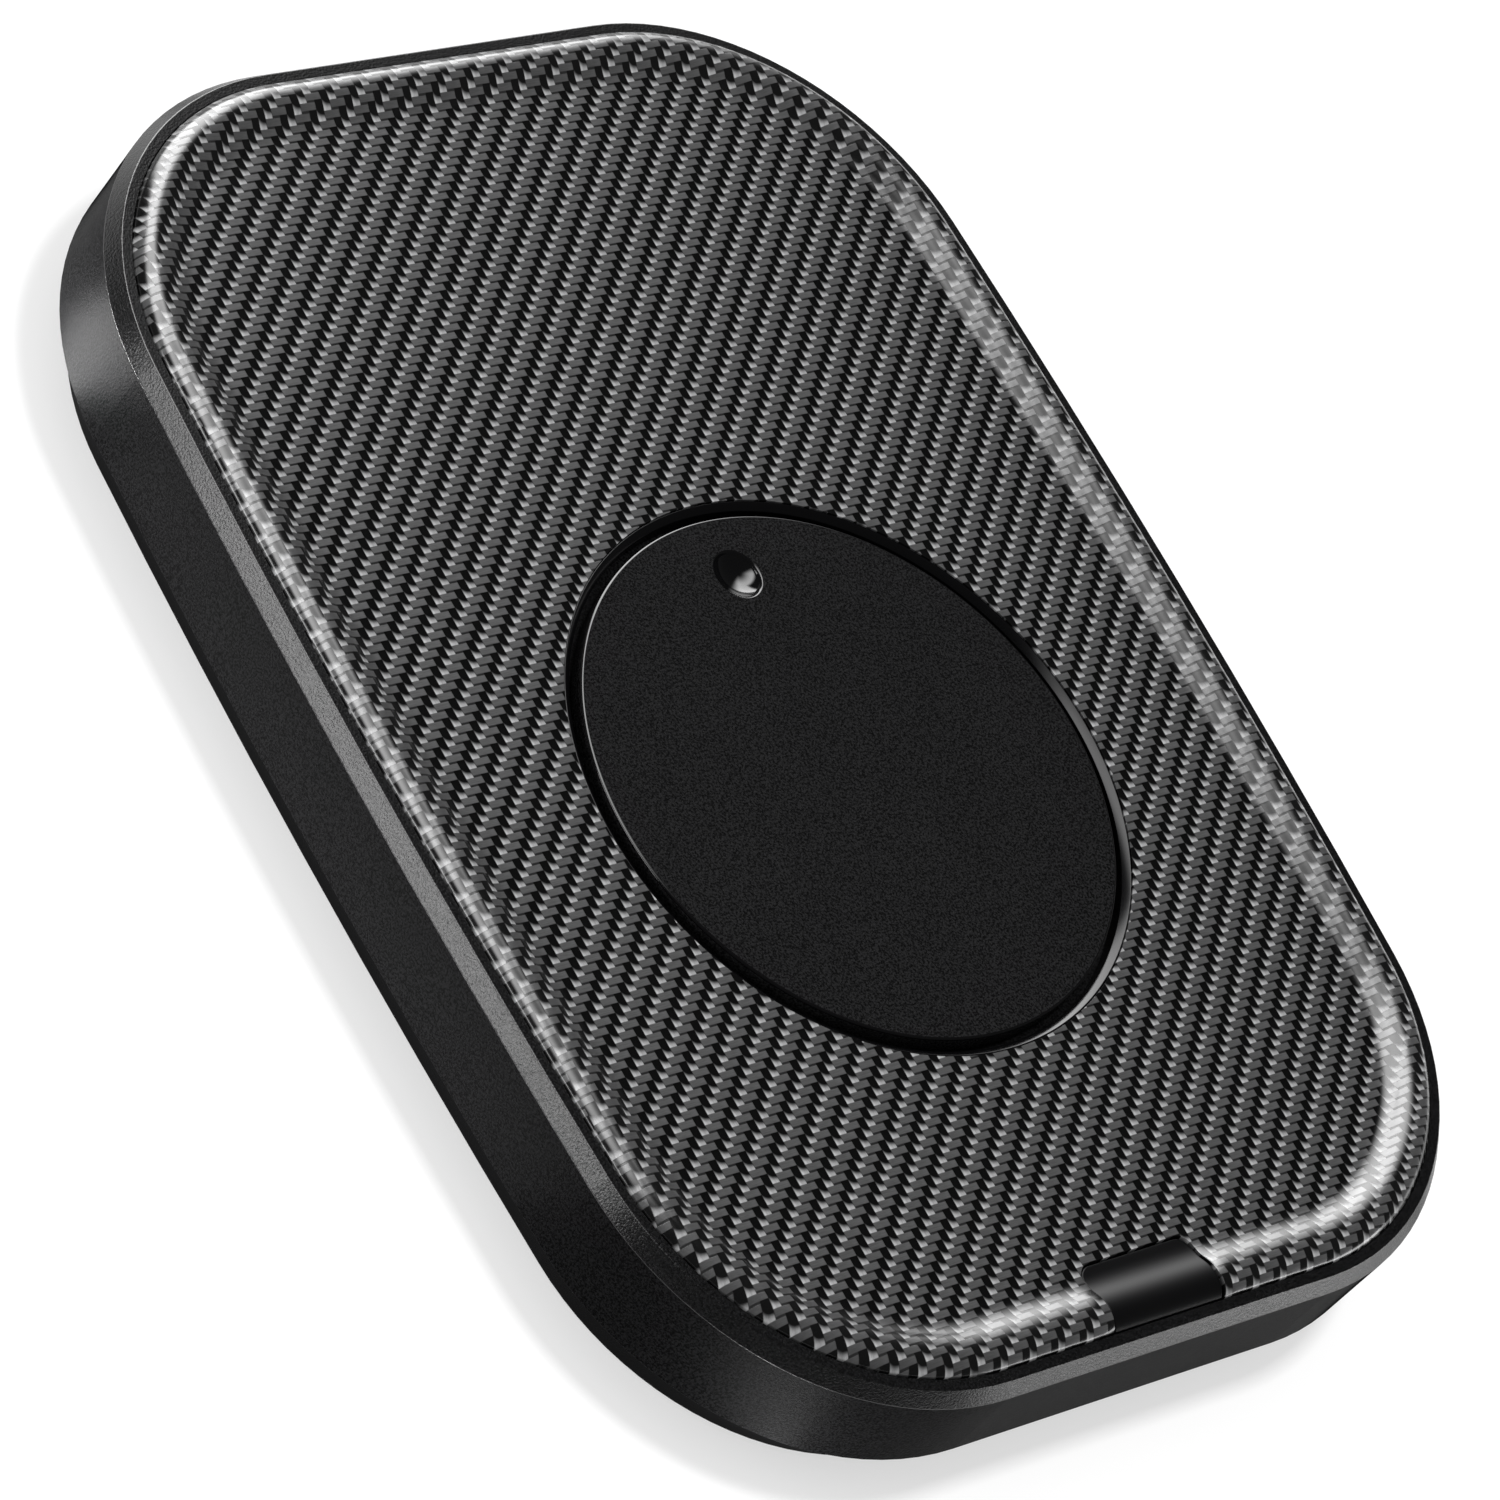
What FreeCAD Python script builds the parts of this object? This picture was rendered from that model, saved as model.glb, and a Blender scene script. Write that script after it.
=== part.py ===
import FreeCAD, Part
import math
import os

from FreeCAD import Vector

# A desk tray that keeps an optical mouse moving. The mouse rests in a shallow tray, and a slow
# disc in the tray's floor turns below its sensor. A flat stepper motor drives the disc through
# a compound idler gear, and a sprung key at the front switches it.
#
# Millimetres. +Z is up, +Y is the back, +X is the right. The origin is the middle of the
# footprint, on the desk.

# ------------------------------------------------------------------ plan outline of the tray
TRAY_WIDTH = 86.3             # across the panel's waist
TRAY_LENGTH = 120.8           # between the panel's straight ends
SIDE_BOW_RADIUS = 767.0       # the long sides bow outwards this gently
CORNER_RADIUS = 24.6

# ------------------------------------------------------------------ heights of the body
FOOT_STANDOFF = 0.6           # from the desk to the bottom cover
PLINTH_HEIGHT = 4.2           # bottom cover, up to the housing's lower edge
WALL_HEIGHT = 9.6             # housing, from its lower edge to the rim

# ------------------------------------------------------------------ upper housing
RIM_WIDTH = 0.97              # flat ring round the panel
RIM_BEVEL_OUT = 0.87
RIM_BEVEL_DROP = 1.42
RIM_EDGE_ROUND = 0.15
WALL_THICKNESS = 1.8
WALL_DRAFT = 0.08             # the wall leans in this much at its lower edge
DECK_THICKNESS = 1.8
DECK_LEDGE = 1.5              # how far the wall's section reaches into the deck
PANEL_GAP = 0.08              # between the panel's edge and the rim

# ------------------------------------------------------------------ tray panel and its tape
PANEL_THICKNESS = 0.85
TAPE_THICKNESS = 0.15
BEAD_WIDTH = 5.2
BEAD_HEIGHT = 1.0
BEAD_CREST_INSET = 1.65       # from the panel's edge to the top of the bead
BEAD_EDGE_STEP = 0.05         # the bead's outer foot stands this far above the rim
BEAD_LAND = 0.8               # foot of the bead that sits on the deck

# ------------------------------------------------------------------ turntable
DISC_SET_FORWARD = 10.0       # the disc's axis is this far in front of the middle
DISC_RADIUS = 24.4
DISC_THICKNESS = 1.6
DISC_EDGE_ROUND = 0.2
DISC_LIFT = 0.4               # between the disc and the web below it
DIMPLE_REACH = 19.1           # from the disc's axis to the finger dimple
DIMPLE_RADIUS = 2.28
DIMPLE_DEPTH = 1.1
BEZEL_GAP = 0.75              # between the disc and its bezel
BEZEL_LIP = 0.7               # width of the bezel's bevelled lip
BEZEL_LIP_DROP = 0.55
BEZEL_EDGE_ROUND = 0.12
BEZEL_FLANGE = 1.35           # the part of the bezel below the panel
BEZEL_FIT = 0.05
WEB_THICKNESS = 1.4
WEB_RING_WIDTH = 5.2          # thinner ring round the web, below the bezel
SPINDLE_RADIUS = 3.0
SPINDLE_FLAT = 2.3            # from the axis to each drive flat
SPINDLE_FLANGE_RADIUS = 8.0
SPINDLE_FLANGE_THICKNESS = 0.8
BUSH_WALL = 1.0
BUSH_FLANGE_RADIUS = 5.5
BUSH_FLANGE_THICKNESS = 0.6
BUSH_CLEARANCE = 0.04         # radial running clearance on the spindle
SPINDLE_BOSS_WALL = 2.5
SPINDLE_BOSS_DROP = 1.8
THRUST_WASHER_RADIUS = 7.0
THRUST_PLAY = 0.05

# ------------------------------------------------------------------ gear train
MODULE = 0.5
PRESSURE_ANGLE = 20.0
TURNTABLE_TEETH = 72
IDLER_PINION_TEETH = 12
IDLER_WHEEL_TEETH = 64
MOTOR_PINION_TEETH = 10
WHEEL_ADDENDUM = 0.6          # in modules; short, so that the small pinions need no undercut
PINION_ADDENDUM = 1.0         # in modules
ROOT_CLEARANCE = 0.25         # in modules
BACKLASH = 0.09
FLANK_POINTS = 4
IDLER_BEARING = 90.0          # direction from the turntable's axis to the idler, degrees
MOTOR_BEARING = 20.0          # direction from the idler to the motor, degrees
TURNTABLE_GEAR_FACE = 1.8
GEAR_HUB_RADIUS = 5.0
GEAR_HUB_RISE = 0.4
GEAR_END_PLAY = 0.1
LIGHTENING_HOLES = 6
LIGHTENING_RADIUS = 3.2
LIGHTENING_REACH = 11.2
IDLER_WHEEL_FACE = 1.2
IDLER_FLOOR_GAP = 0.7
IDLER_PIN_RADIUS = 1.0
IDLER_PIN_CLEARANCE = 0.03    # radial running clearance on the pin
IDLER_PIN_SEAT = 2.6          # length of pin held in its boss
IDLER_PIN_FLOOR_GAP = 0.12
IDLER_BOSS_RADIUS = 2.4
IDLER_HOLE_RADIUS = 2.6
IDLER_HOLE_REACH = 9.6
IDLER_HOLES = 5
WASHER_THICKNESS = 0.25
WASHER_PLAY = 0.05
CLIP_THICKNESS = 0.3
CLIP_RADIUS = 2.3

# ------------------------------------------------------------------ motor
MOTOR_RADIUS = 10.0
MOTOR_DECK_GAP = 0.2
MOTOR_EDGE_ROUND = 0.5
MOTOR_FLANGE_THICKNESS = 0.6
MOTOR_FLANGE_GAP = 0.4        # between the idler's wheel and the motor flange
MOTOR_EAR_REACH = 13.5        # from the motor's axis to each ear's screw
MOTOR_EAR_RADIUS = 2.6
MOTOR_EAR_BEARING = 90.0      # direction of the first ear, degrees
MOTOR_BOSS_RADIUS = 2.2
MOTOR_SHAFT_RADIUS = 0.75
MOTOR_SHAFT_CLEARANCE = 0.05
MOTOR_SHAFT_DEPTH = 5.0       # length of shaft inside the can
PINION_OVERHANG = 0.1         # the pinion is longer than the wheel at each end
TERMINAL_WIDTH = 6.2
TERMINAL_REACH = 2.4
TERMINAL_HEIGHT = 2.8
TERMINAL_BEARING = 115.0      # direction of the terminal block, degrees

# ------------------------------------------------------------------ bottom cover
COVER_FLOOR = 1.6
COVER_TAPER = 0.77            # the plinth's side leans in this much at its lower edge
COVER_WALL = 1.3
COVER_LIP_HEIGHT = 1.4        # part of the cover inside the housing
COVER_LIP_GAP = 0.1
COVER_EDGE_ROUND = 0.4
COVER_SCREW_INSET = 7.15      # from the waist's edge to the screws
COVER_SCREW_SPAN = 60.0
COVER_BOSS_RADIUS = 2.8
COVER_HEAD_SINK = 0.1         # the heads sit this far inside their pockets
LEAD_RIB_HEIGHT = 1.3
LEAD_RIB_THICKNESS = 0.8
LEAD_RIB_LENGTH = 6.0
LEAD_RIB_SPAN = 36.0
LEAD_RIB_GAP = 0.25

# ------------------------------------------------------------------ feet and ballast
FOOT_RADIUS = 5.5
FOOT_THICKNESS = 1.2
FOOT_EDGE_ROUND = 0.2
FOOT_FIT = 0.1
FOOT_INSET_X = 14.15          # from the tray's side to the foot's middle
FOOT_INSET_Y = 12.4           # from the tray's end to the foot's middle
BALLAST_INSET = 4.15          # from the waist's edge to the plate
BALLAST_WIDTH = 9.4
BALLAST_LENGTH = 48.0
BALLAST_THICKNESS = 4.0
BALLAST_CORNER = 1.5
BALLAST_STAKE_RADIUS = 1.25
BALLAST_STAKE_SPAN = 34.0
BALLAST_STAKE_HEAD = 2.0
BALLAST_STAKE_HEAD_HEIGHT = 0.8

# ------------------------------------------------------------------ power key and its board
KEY_WIDTH = 12.0
KEY_DEPTH = 5.9               # from the panel's edge inwards
KEY_DROP = 0.15               # the key's top lies this far below the panel
KEY_GAP = 0.12                # all round the key
KEY_CORNER = 1.3
KEY_FLANGE = 1.4              # lip below the deck that keeps the key in
KEY_FLANGE_THICKNESS = 0.8
KEY_FLANGE_PLAY = 0.05
KEY_TRAVEL = 0.5
KEY_STEM_RADIUS = 1.5
KEY_STEM_LENGTH = 1.0
SWITCH_INSET = 4.6            # from the tray's end to the switch
SWITCH_SIZE = 4.5
SWITCH_HEIGHT = 1.8
PLUNGER_RADIUS = 1.0
PLUNGER_CLEARANCE = 0.08
PLUNGER_SHOW = 0.7
PLUNGER_LENGTH = 1.35
PLUNGER_END_GAP = 0.2         # below the plunger, when it is pressed
BOARD_THICKNESS = 1.0
BOARD_EDGE_GAP = 0.2          # between a board and the cover's lip
BOARD_CORNER = 1.0
KEY_BOARD_WIDTH = 25.0
KEY_BOARD_DEPTH = 10.0
BOARD_SCREW_INSET = 2.2       # from a board's edges to its screws
BOARD_BOSS_RADIUS = 2.0

# ------------------------------------------------------------------ main board
MAIN_BOARD_WIDTH = 37.0
MAIN_BOARD_DEPTH = 15.5
MAIN_BOARD_DROP = 4.2         # below the deck
USB_WIDTH = 8.94
USB_HEIGHT = 3.16
USB_DEPTH = 7.3
USB_WALL = 0.3
USB_FIT = 0.15
USB_TONGUE_WIDTH = 6.7
USB_TONGUE_THICKNESS = 0.7
USB_TONGUE_SETBACK = 1.2
PORT_RECESS_WIDTH = 12.6
PORT_RECESS_HEIGHT = 6.4
PORT_RECESS_DEPTH = 0.7
PORT_RECESS_CORNER = 2.6
CONTROLLER_SIZE = 5.0
CONTROLLER_HEIGHT = 0.9
DRIVER_LENGTH = 4.9
DRIVER_WIDTH = 3.9
DRIVER_HEIGHT = 1.5
CRYSTAL_LENGTH = 3.2
CRYSTAL_WIDTH = 1.6
CRYSTAL_HEIGHT = 0.8
CAPACITOR_LENGTH = 1.6
CAPACITOR_WIDTH = 0.8
CAPACITOR_HEIGHT = 0.8
CAPACITOR_COUNT = 6
CAPACITOR_PITCH = 2.2
PART_ROW_INSET = 8.4          # from the board's front edge to its row of parts
PART_ROW_STEP = 7.0
HEADER_DEPTH = 3.4
HEADER_HEIGHT = 2.2
HEADER_END_WALL = 0.9
HEADER_SETBACK = 0.8          # from the board's edge to the header's mouth
MAIN_HEADER_OFFSET = 9.0      # of each header from the board's middle
KEY_BOARD_HEADER_OFFSET = 4.5

# ------------------------------------------------------------------ leads
WIRE_DIAMETER = 0.8
WIRE_PITCH = 1.2
WIRE_REST = 0.02              # between a wire and the floor it lies on
MOTOR_WIRES = 4
KEY_WIRES = 3
LEAD_STRAIGHT = 4.0           # first and last run of each lead
LEAD_LANE = 20.0              # the key lead's lane is this far left of the middle
LEAD_LANE_SPAN = 56.0
LEAD_ARC_SHARE = 0.45         # of the shorter run, taken by each arc

# ------------------------------------------------------------------ screws
SCREW_RADIUS = 0.8            # shank of every self-tapping screw
SCREW_HEAD_RADIUS = 1.7
SCREW_HEAD_HEIGHT = 0.9
SCREW_LENGTH = 3.6
SCREW_HOLE_FIT = 0.15         # clearance round a shank in a plate
SCREW_POCKET_FIT = 0.2        # clearance round a head in its pocket
SCREW_SLOT = 0.35
SCREW_SLOT_DEPTH = 0.45
GEAR_SCREW_RADIUS = 1.0
GEAR_SCREW_HEAD_RADIUS = 2.2
GEAR_SCREW_HEAD_HEIGHT = 1.2
GEAR_SCREW_LENGTH = 4.5
GEAR_WASHER_RADIUS = 3.4
GEAR_WASHER_THICKNESS = 0.4
SPINDLE_END_RELIEF = 0.1      # the spindle ends short of the washer

# ================================================================== levels worked out from these
HALF_WIDTH = TRAY_WIDTH / 2
HALF_LENGTH = TRAY_LENGTH / 2
WALL_OUTER = RIM_WIDTH + RIM_BEVEL_OUT
WALL_INNER = WALL_OUTER - WALL_THICKNESS

COVER_UNDER_Z = FOOT_STANDOFF
FLOOR_Z = COVER_UNDER_Z + COVER_FLOOR
WALL_FOOT_Z = COVER_UNDER_Z + PLINTH_HEIGHT
RIM_Z = WALL_FOOT_Z + WALL_HEIGHT
LIP_OUTER = WALL_INNER - COVER_LIP_GAP
LIP_TOP_Z = WALL_FOOT_Z + COVER_LIP_HEIGHT
PLINTH_FOOT = LIP_OUTER - COVER_TAPER
COVER_INNER = PLINTH_FOOT - COVER_WALL

PANEL_UNDER_Z = RIM_Z - PANEL_THICKNESS
DECK_Z = PANEL_UNDER_Z - TAPE_THICKNESS
DECK_UNDER_Z = DECK_Z - DECK_THICKNESS

DISC_Y = -DISC_SET_FORWARD
DISC_UNDER_Z = RIM_Z - DISC_THICKNESS
WEB_Z = DISC_UNDER_Z - DISC_LIFT
WEB_UNDER_Z = WEB_Z - WEB_THICKNESS
BEZEL_BORE = DISC_RADIUS + BEZEL_GAP
BEZEL_OUTER = BEZEL_BORE + BEZEL_LIP
BEZEL_SEAT = BEZEL_OUTER + BEZEL_FLANGE
PANEL_HOLE = BEZEL_OUTER + BEZEL_FIT
DECK_HOLE = BEZEL_SEAT + BEZEL_FIT
WEB_RIM = DECK_HOLE + DECK_THICKNESS
WEB_THICK_RADIUS = DECK_HOLE - WEB_RING_WIDTH

BUSH_BORE = SPINDLE_RADIUS + BUSH_CLEARANCE
BUSH_RADIUS = BUSH_BORE + BUSH_WALL
BOSS_UNDER_Z = WEB_UNDER_Z - SPINDLE_BOSS_DROP
GEAR_HUB_TOP_Z = BOSS_UNDER_Z - GEAR_END_PLAY
GEAR_TOP_Z = GEAR_HUB_TOP_Z - GEAR_HUB_RISE
GEAR_UNDER_Z = GEAR_TOP_Z - TURNTABLE_GEAR_FACE
GEAR_HUB_UNDER_Z = GEAR_UNDER_Z - GEAR_HUB_RISE

WHEEL_UNDER_Z = FLOOR_Z + IDLER_FLOOR_GAP
WHEEL_TOP_Z = WHEEL_UNDER_Z + IDLER_WHEEL_FACE
IDLER_TOP_Z = BOSS_UNDER_Z - WASHER_THICKNESS - 2 * WASHER_PLAY
MOTOR_FLANGE_UNDER_Z = WHEEL_TOP_Z + MOTOR_FLANGE_GAP
MOTOR_FLANGE_TOP_Z = MOTOR_FLANGE_UNDER_Z + MOTOR_FLANGE_THICKNESS
MOTOR_TOP_Z = DECK_UNDER_Z - MOTOR_DECK_GAP
MOTOR_MIDDLE_Z = (MOTOR_FLANGE_TOP_Z + MOTOR_TOP_Z) / 2

BOARD_LIMIT_Y = HALF_LENGTH + COVER_INNER - BOARD_EDGE_GAP
MAIN_BOARD_TOP_Z = DECK_UNDER_Z - MAIN_BOARD_DROP
MAIN_BOARD_UNDER_Z = MAIN_BOARD_TOP_Z - BOARD_THICKNESS
MAIN_BOARD_FRONT_Y = BOARD_LIMIT_Y - MAIN_BOARD_DEPTH
KEY_BOARD_INNER_Y = KEY_BOARD_DEPTH - BOARD_LIMIT_Y
KEY_FLANGE_TOP_Z = DECK_UNDER_Z - KEY_FLANGE_PLAY
KEY_FLANGE_UNDER_Z = KEY_FLANGE_TOP_Z - KEY_FLANGE_THICKNESS
KEY_STEM_UNDER_Z = KEY_FLANGE_UNDER_Z - KEY_STEM_LENGTH
SWITCH_TOP_Z = KEY_STEM_UNDER_Z - PLUNGER_SHOW
KEY_BOARD_TOP_Z = SWITCH_TOP_Z - SWITCH_HEIGHT
KEY_BOARD_UNDER_Z = KEY_BOARD_TOP_Z - BOARD_THICKNESS
SWITCH_Y = SWITCH_INSET - HALF_LENGTH
USB_MIDDLE_Z = MAIN_BOARD_TOP_Z + USB_HEIGHT / 2
USB_MOUTH_Y = HALF_LENGTH + WALL_OUTER - PORT_RECESS_DEPTH

UP = Vector(0, 0, 1)


# ================================================================== general shapes
def polar(radius, degrees, centre=(0.0, 0.0)):
    """The plan point at a radius and bearing from a centre."""
    angle = math.radians(degrees)
    return centre[0] + radius * math.cos(angle), centre[1] + radius * math.sin(angle)


def rounded_edges(points, place):
    """Edges of a closed polygon of (u, v) or (u, v, radius) corners, put in space by place."""
    count = len(points)
    ends = []
    for index, corner in enumerate(points):
        radius = corner[2] if len(corner) > 2 else 0.0
        here = Vector(corner[0], corner[1], 0)
        if radius <= 0.0:
            ends.append((here, None, here))
            continue
        before = (Vector(*points[index - 1][:2], 0) - here).normalize()
        after = (Vector(*points[(index + 1) % count][:2], 0) - here).normalize()
        half = before.getAngle(after) / 2
        bisector = (before + after).normalize()
        centre = here + bisector * (radius / math.sin(half))
        reach = radius / math.tan(half)
        ends.append((here + before * reach, centre - bisector * radius, here + after * reach))
    edges = []
    for index, (start, middle, end) in enumerate(ends):
        if middle is not None:
            edges.append(Part.Arc(place(start), place(middle), place(end)).toShape())
        following = ends[(index + 1) % count][0]
        if (following - end).Length > 1e-7:
            edges.append(Part.LineSegment(place(end), place(following)).toShape())
    return edges


def section_face(points):
    """A face in the XZ plane, from (x, z) corners that may carry a rounding radius."""
    return Part.Face(Part.Wire(rounded_edges(points, lambda p: Vector(p.x, 0, p.y))))


def turned(points, x=0.0, y=0.0):
    """A solid of revolution about the vertical axis at (x, y), from (radius, z) corners."""
    solid = section_face(points).revolve(Vector(0, 0, 0), UP, 360)
    solid.translate(Vector(x, y, 0))
    return solid


def rod(radius, low, high, x=0.0, y=0.0):
    """An upright cylinder."""
    return Part.makeCylinder(radius, high - low, Vector(x, y, low))


def tube(radius, bore, low, high, x=0.0, y=0.0):
    """An upright cylinder with a hole along its axis."""
    return rod(radius, low, high, x, y).cut(rod(bore, low, high, x, y))


def slab(x0, x1, y0, y1, low, high, corner=0.0):
    """An upright block, with its four vertical edges rounded."""
    corners = [(x0, y0, corner), (x1, y0, corner), (x1, y1, corner), (x0, y1, corner)]
    wire = Part.Wire(rounded_edges(corners, lambda p: Vector(p.x, p.y, low)))
    return Part.Face(wire).extrude(UP * (high - low))


def joined(shapes):
    """The union of shapes that touch or overlap, with its seams merged."""
    return shapes[0].fuse(shapes[1:]).removeSplitter()


def grouped(solids):
    """Separate solids that share one node."""
    return Part.makeCompound(solids)


# ================================================================== the outline of the tray
CORNER_Y = HALF_LENGTH - CORNER_RADIUS
CORNER_X = (math.sqrt((SIDE_BOW_RADIUS - CORNER_RADIUS) ** 2 - CORNER_Y ** 2)
            - SIDE_BOW_RADIUS + HALF_WIDTH)
BOW_CENTRE = SIDE_BOW_RADIUS - HALF_WIDTH
BOW_ANGLE = math.degrees(math.atan2(CORNER_Y, CORNER_X + BOW_CENTRE))

# Each arc is (centre x, centre y, radius, start bearing, end bearing), anticlockwise.
SIDE_ARCS = [(-BOW_CENTRE, 0.0, SIDE_BOW_RADIUS, -BOW_ANGLE, BOW_ANGLE),
             (BOW_CENTRE, 0.0, SIDE_BOW_RADIUS, 180 - BOW_ANGLE, 180 + BOW_ANGLE)]
CORNER_ARCS = [(CORNER_X, CORNER_Y, CORNER_RADIUS, BOW_ANGLE, 90.0),
               (-CORNER_X, CORNER_Y, CORNER_RADIUS, 90.0, 180 - BOW_ANGLE),
               (-CORNER_X, -CORNER_Y, CORNER_RADIUS, 180 + BOW_ANGLE, 270.0),
               (CORNER_X, -CORNER_Y, CORNER_RADIUS, 270.0, 360 - BOW_ANGLE)]


def plan_wire(offset, z):
    """The tray's outline, moved outwards by offset, at height z."""
    edges = []
    for x, y, radius, start, end in SIDE_ARCS + CORNER_ARCS:
        circle = Part.Circle(Vector(x, y, z), UP, radius + offset)
        edges.append(Part.Arc(circle, math.radians(start), math.radians(end)).toShape())
    for side in (1, -1):
        y = side * (HALF_LENGTH + offset)
        ends = Vector(CORNER_X, y, z), Vector(-CORNER_X, y, z)
        edges.append(Part.LineSegment(*ends).toShape())
    return Part.Wire(Part.__sortEdges__(edges))


def plan_slab(offset, low, high):
    """A plate with the tray's outline, moved outwards by offset."""
    return Part.Face(plan_wire(offset, low)).extrude(UP * (high - low))


def swept_round(section):
    """A section in (offset, z), carried round the tray's outline."""
    pieces = []
    for x, y, radius, start, end in SIDE_ARCS + CORNER_ARCS:
        face = section.copy()
        face.translate(Vector(radius, 0, 0))
        face.rotate(Vector(0, 0, 0), UP, start)
        face.translate(Vector(x, y, 0))
        pieces.append(face.revolve(Vector(x, y, 0), UP, end - start))
    for side in (1, -1):
        face = section.copy()
        face.rotate(Vector(0, 0, 0), UP, 90 * side)
        face.translate(Vector(CORNER_X * side, HALF_LENGTH * side, 0))
        pieces.append(face.extrude(Vector(-2 * CORNER_X * side, 0, 0)))
    return joined(pieces)


# ================================================================== the bead's profile
# Three tangent arcs: a hollow foot and a crown of one radius on the inner side, then a
# tighter arc from the crest down to the panel's edge.
BEAD_RUN = BEAD_WIDTH - BEAD_CREST_INSET
BEAD_SLOPE = 2 * math.atan(BEAD_HEIGHT / BEAD_RUN)
BEAD_INNER_RADIUS = BEAD_RUN / (2 * math.sin(BEAD_SLOPE))
BEAD_FALL = BEAD_HEIGHT - BEAD_EDGE_STEP
BEAD_EDGE_SLOPE = 2 * math.atan(BEAD_FALL / BEAD_CREST_INSET)
BEAD_OUTER_RADIUS = BEAD_CREST_INSET / math.sin(BEAD_EDGE_SLOPE)


def crest_point(radius, slope, level):
    """A point on an arc below the bead's crest: slope is negative on the inner side."""
    return Vector(-BEAD_CREST_INSET + radius * math.sin(slope), 0,
                  level + BEAD_HEIGHT - radius * (1 - math.cos(slope)))


def foot_point(slope, level):
    """A point on the hollow arc at the bead's inner foot."""
    return Vector(-BEAD_WIDTH + BEAD_INNER_RADIUS * math.sin(slope), 0,
                  level + BEAD_INNER_RADIUS * (1 - math.cos(slope)))


def bead_edges(level, outer_slope=BEAD_EDGE_SLOPE):
    """Edges of the bead's top from its inner foot to its outer arc, above a floor level."""
    crest = crest_point(BEAD_INNER_RADIUS, 0.0, level)
    bend = crest_point(BEAD_INNER_RADIUS, -BEAD_SLOPE, level)
    outer = crest_point(BEAD_OUTER_RADIUS, outer_slope, level)
    hollow = Part.Arc(foot_point(0.0, level), foot_point(BEAD_SLOPE / 2, level), bend)
    crown = Part.Arc(bend, crest_point(BEAD_INNER_RADIUS, -BEAD_SLOPE / 2, level), crest)
    edge = Part.Arc(crest, crest_point(BEAD_OUTER_RADIUS, outer_slope / 2, level), outer)
    return [hollow.toShape(), crown.toShape(), edge.toShape()], outer


# ================================================================== plan shapes of the key
def key_prism(grow, low, high):
    """The key's footprint, grown on all sides, with its two inner corners rounded."""
    half = KEY_WIDTH / 2 + grow
    inner = KEY_DEPTH - HALF_LENGTH + grow
    outer = -HALF_LENGTH - PANEL_GAP + KEY_GAP - grow
    corner = KEY_CORNER + grow
    corners = [(-half, outer), (half, outer), (half, inner, corner), (-half, inner, corner)]
    wire = Part.Wire(rounded_edges(corners, lambda p: Vector(p.x, p.y, low)))
    return Part.Face(wire).extrude(UP * (high - low))


# ================================================================== places worked out
TURNTABLE_PITCH = MODULE * TURNTABLE_TEETH / 2
IDLER_PINION_PITCH = MODULE * IDLER_PINION_TEETH / 2
IDLER_WHEEL_PITCH = MODULE * IDLER_WHEEL_TEETH / 2
MOTOR_PINION_PITCH = MODULE * MOTOR_PINION_TEETH / 2
IDLER_AT = polar(TURNTABLE_PITCH + IDLER_PINION_PITCH, IDLER_BEARING, (0.0, DISC_Y))
MOTOR_AT = polar(IDLER_WHEEL_PITCH + MOTOR_PINION_PITCH, MOTOR_BEARING, IDLER_AT)
MOTOR_EARS = [polar(MOTOR_EAR_REACH, MOTOR_EAR_BEARING + turn, MOTOR_AT) for turn in (0, 180)]

COVER_SCREWS = [(sx * (HALF_WIDTH - COVER_SCREW_INSET), sy * COVER_SCREW_SPAN / 2)
                for sx in (-1, 1) for sy in (-1, 1)]
FEET = {"rubber_foot_front_left": (-1, -1), "rubber_foot_front_right": (1, -1),
        "rubber_foot_back_left": (-1, 1), "rubber_foot_back_right": (1, 1)}
BALLAST_X = HALF_WIDTH - BALLAST_INSET - BALLAST_WIDTH / 2


def foot_place(sides):
    """The middle of the foot on the given sides."""
    return sides[0] * (HALF_WIDTH - FOOT_INSET_X), sides[1] * (HALF_LENGTH - FOOT_INSET_Y)


def board_screw_places(half_width, y0, y1):
    """Screw places at the corners of a board, or at its inner corners where y1 is None."""
    x = half_width - BOARD_SCREW_INSET
    rows = [y0] if y1 is None else [y0, y1]
    return [(side * x, y) for y in rows for side in (-1, 1)]


MAIN_BOARD_SCREWS = board_screw_places(MAIN_BOARD_WIDTH / 2,
                                       MAIN_BOARD_FRONT_Y + BOARD_SCREW_INSET,
                                       BOARD_LIMIT_Y - BOARD_SCREW_INSET)
KEY_BOARD_SCREWS = board_screw_places(KEY_BOARD_WIDTH / 2,
                                      KEY_BOARD_INNER_Y - BOARD_SCREW_INSET, None)


# ================================================================== screws
def tapping_screw(x, y, seat):
    """A pan-headed screw put in from below, with its head under the seat height."""
    low = seat - SCREW_HEAD_HEIGHT
    head = rod(SCREW_HEAD_RADIUS, low, seat, x, y)
    shank = rod(SCREW_RADIUS, seat, seat + SCREW_LENGTH, x, y)
    half = SCREW_HEAD_RADIUS * 0.62
    top = low + SCREW_SLOT_DEPTH
    slots = [slab(x - half, x + half, y - SCREW_SLOT / 2, y + SCREW_SLOT / 2, low, top),
             slab(x - SCREW_SLOT / 2, x + SCREW_SLOT / 2, y - half, y + half, low, top)]
    return joined([head, shank]).cut(joined(slots))


def tapping_screws(places, seat):
    """A group of equal screws."""
    return grouped([tapping_screw(x, y, seat) for x, y in places])


def boss(x, y, radius, low, high):
    """A screw boss that hangs from the deck, with its pilot hole open below."""
    depth = min(SCREW_LENGTH + SCREW_HOLE_FIT, high - low)
    return rod(radius, low, high, x, y), rod(SCREW_RADIUS, low, low + depth, x, y)


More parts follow.
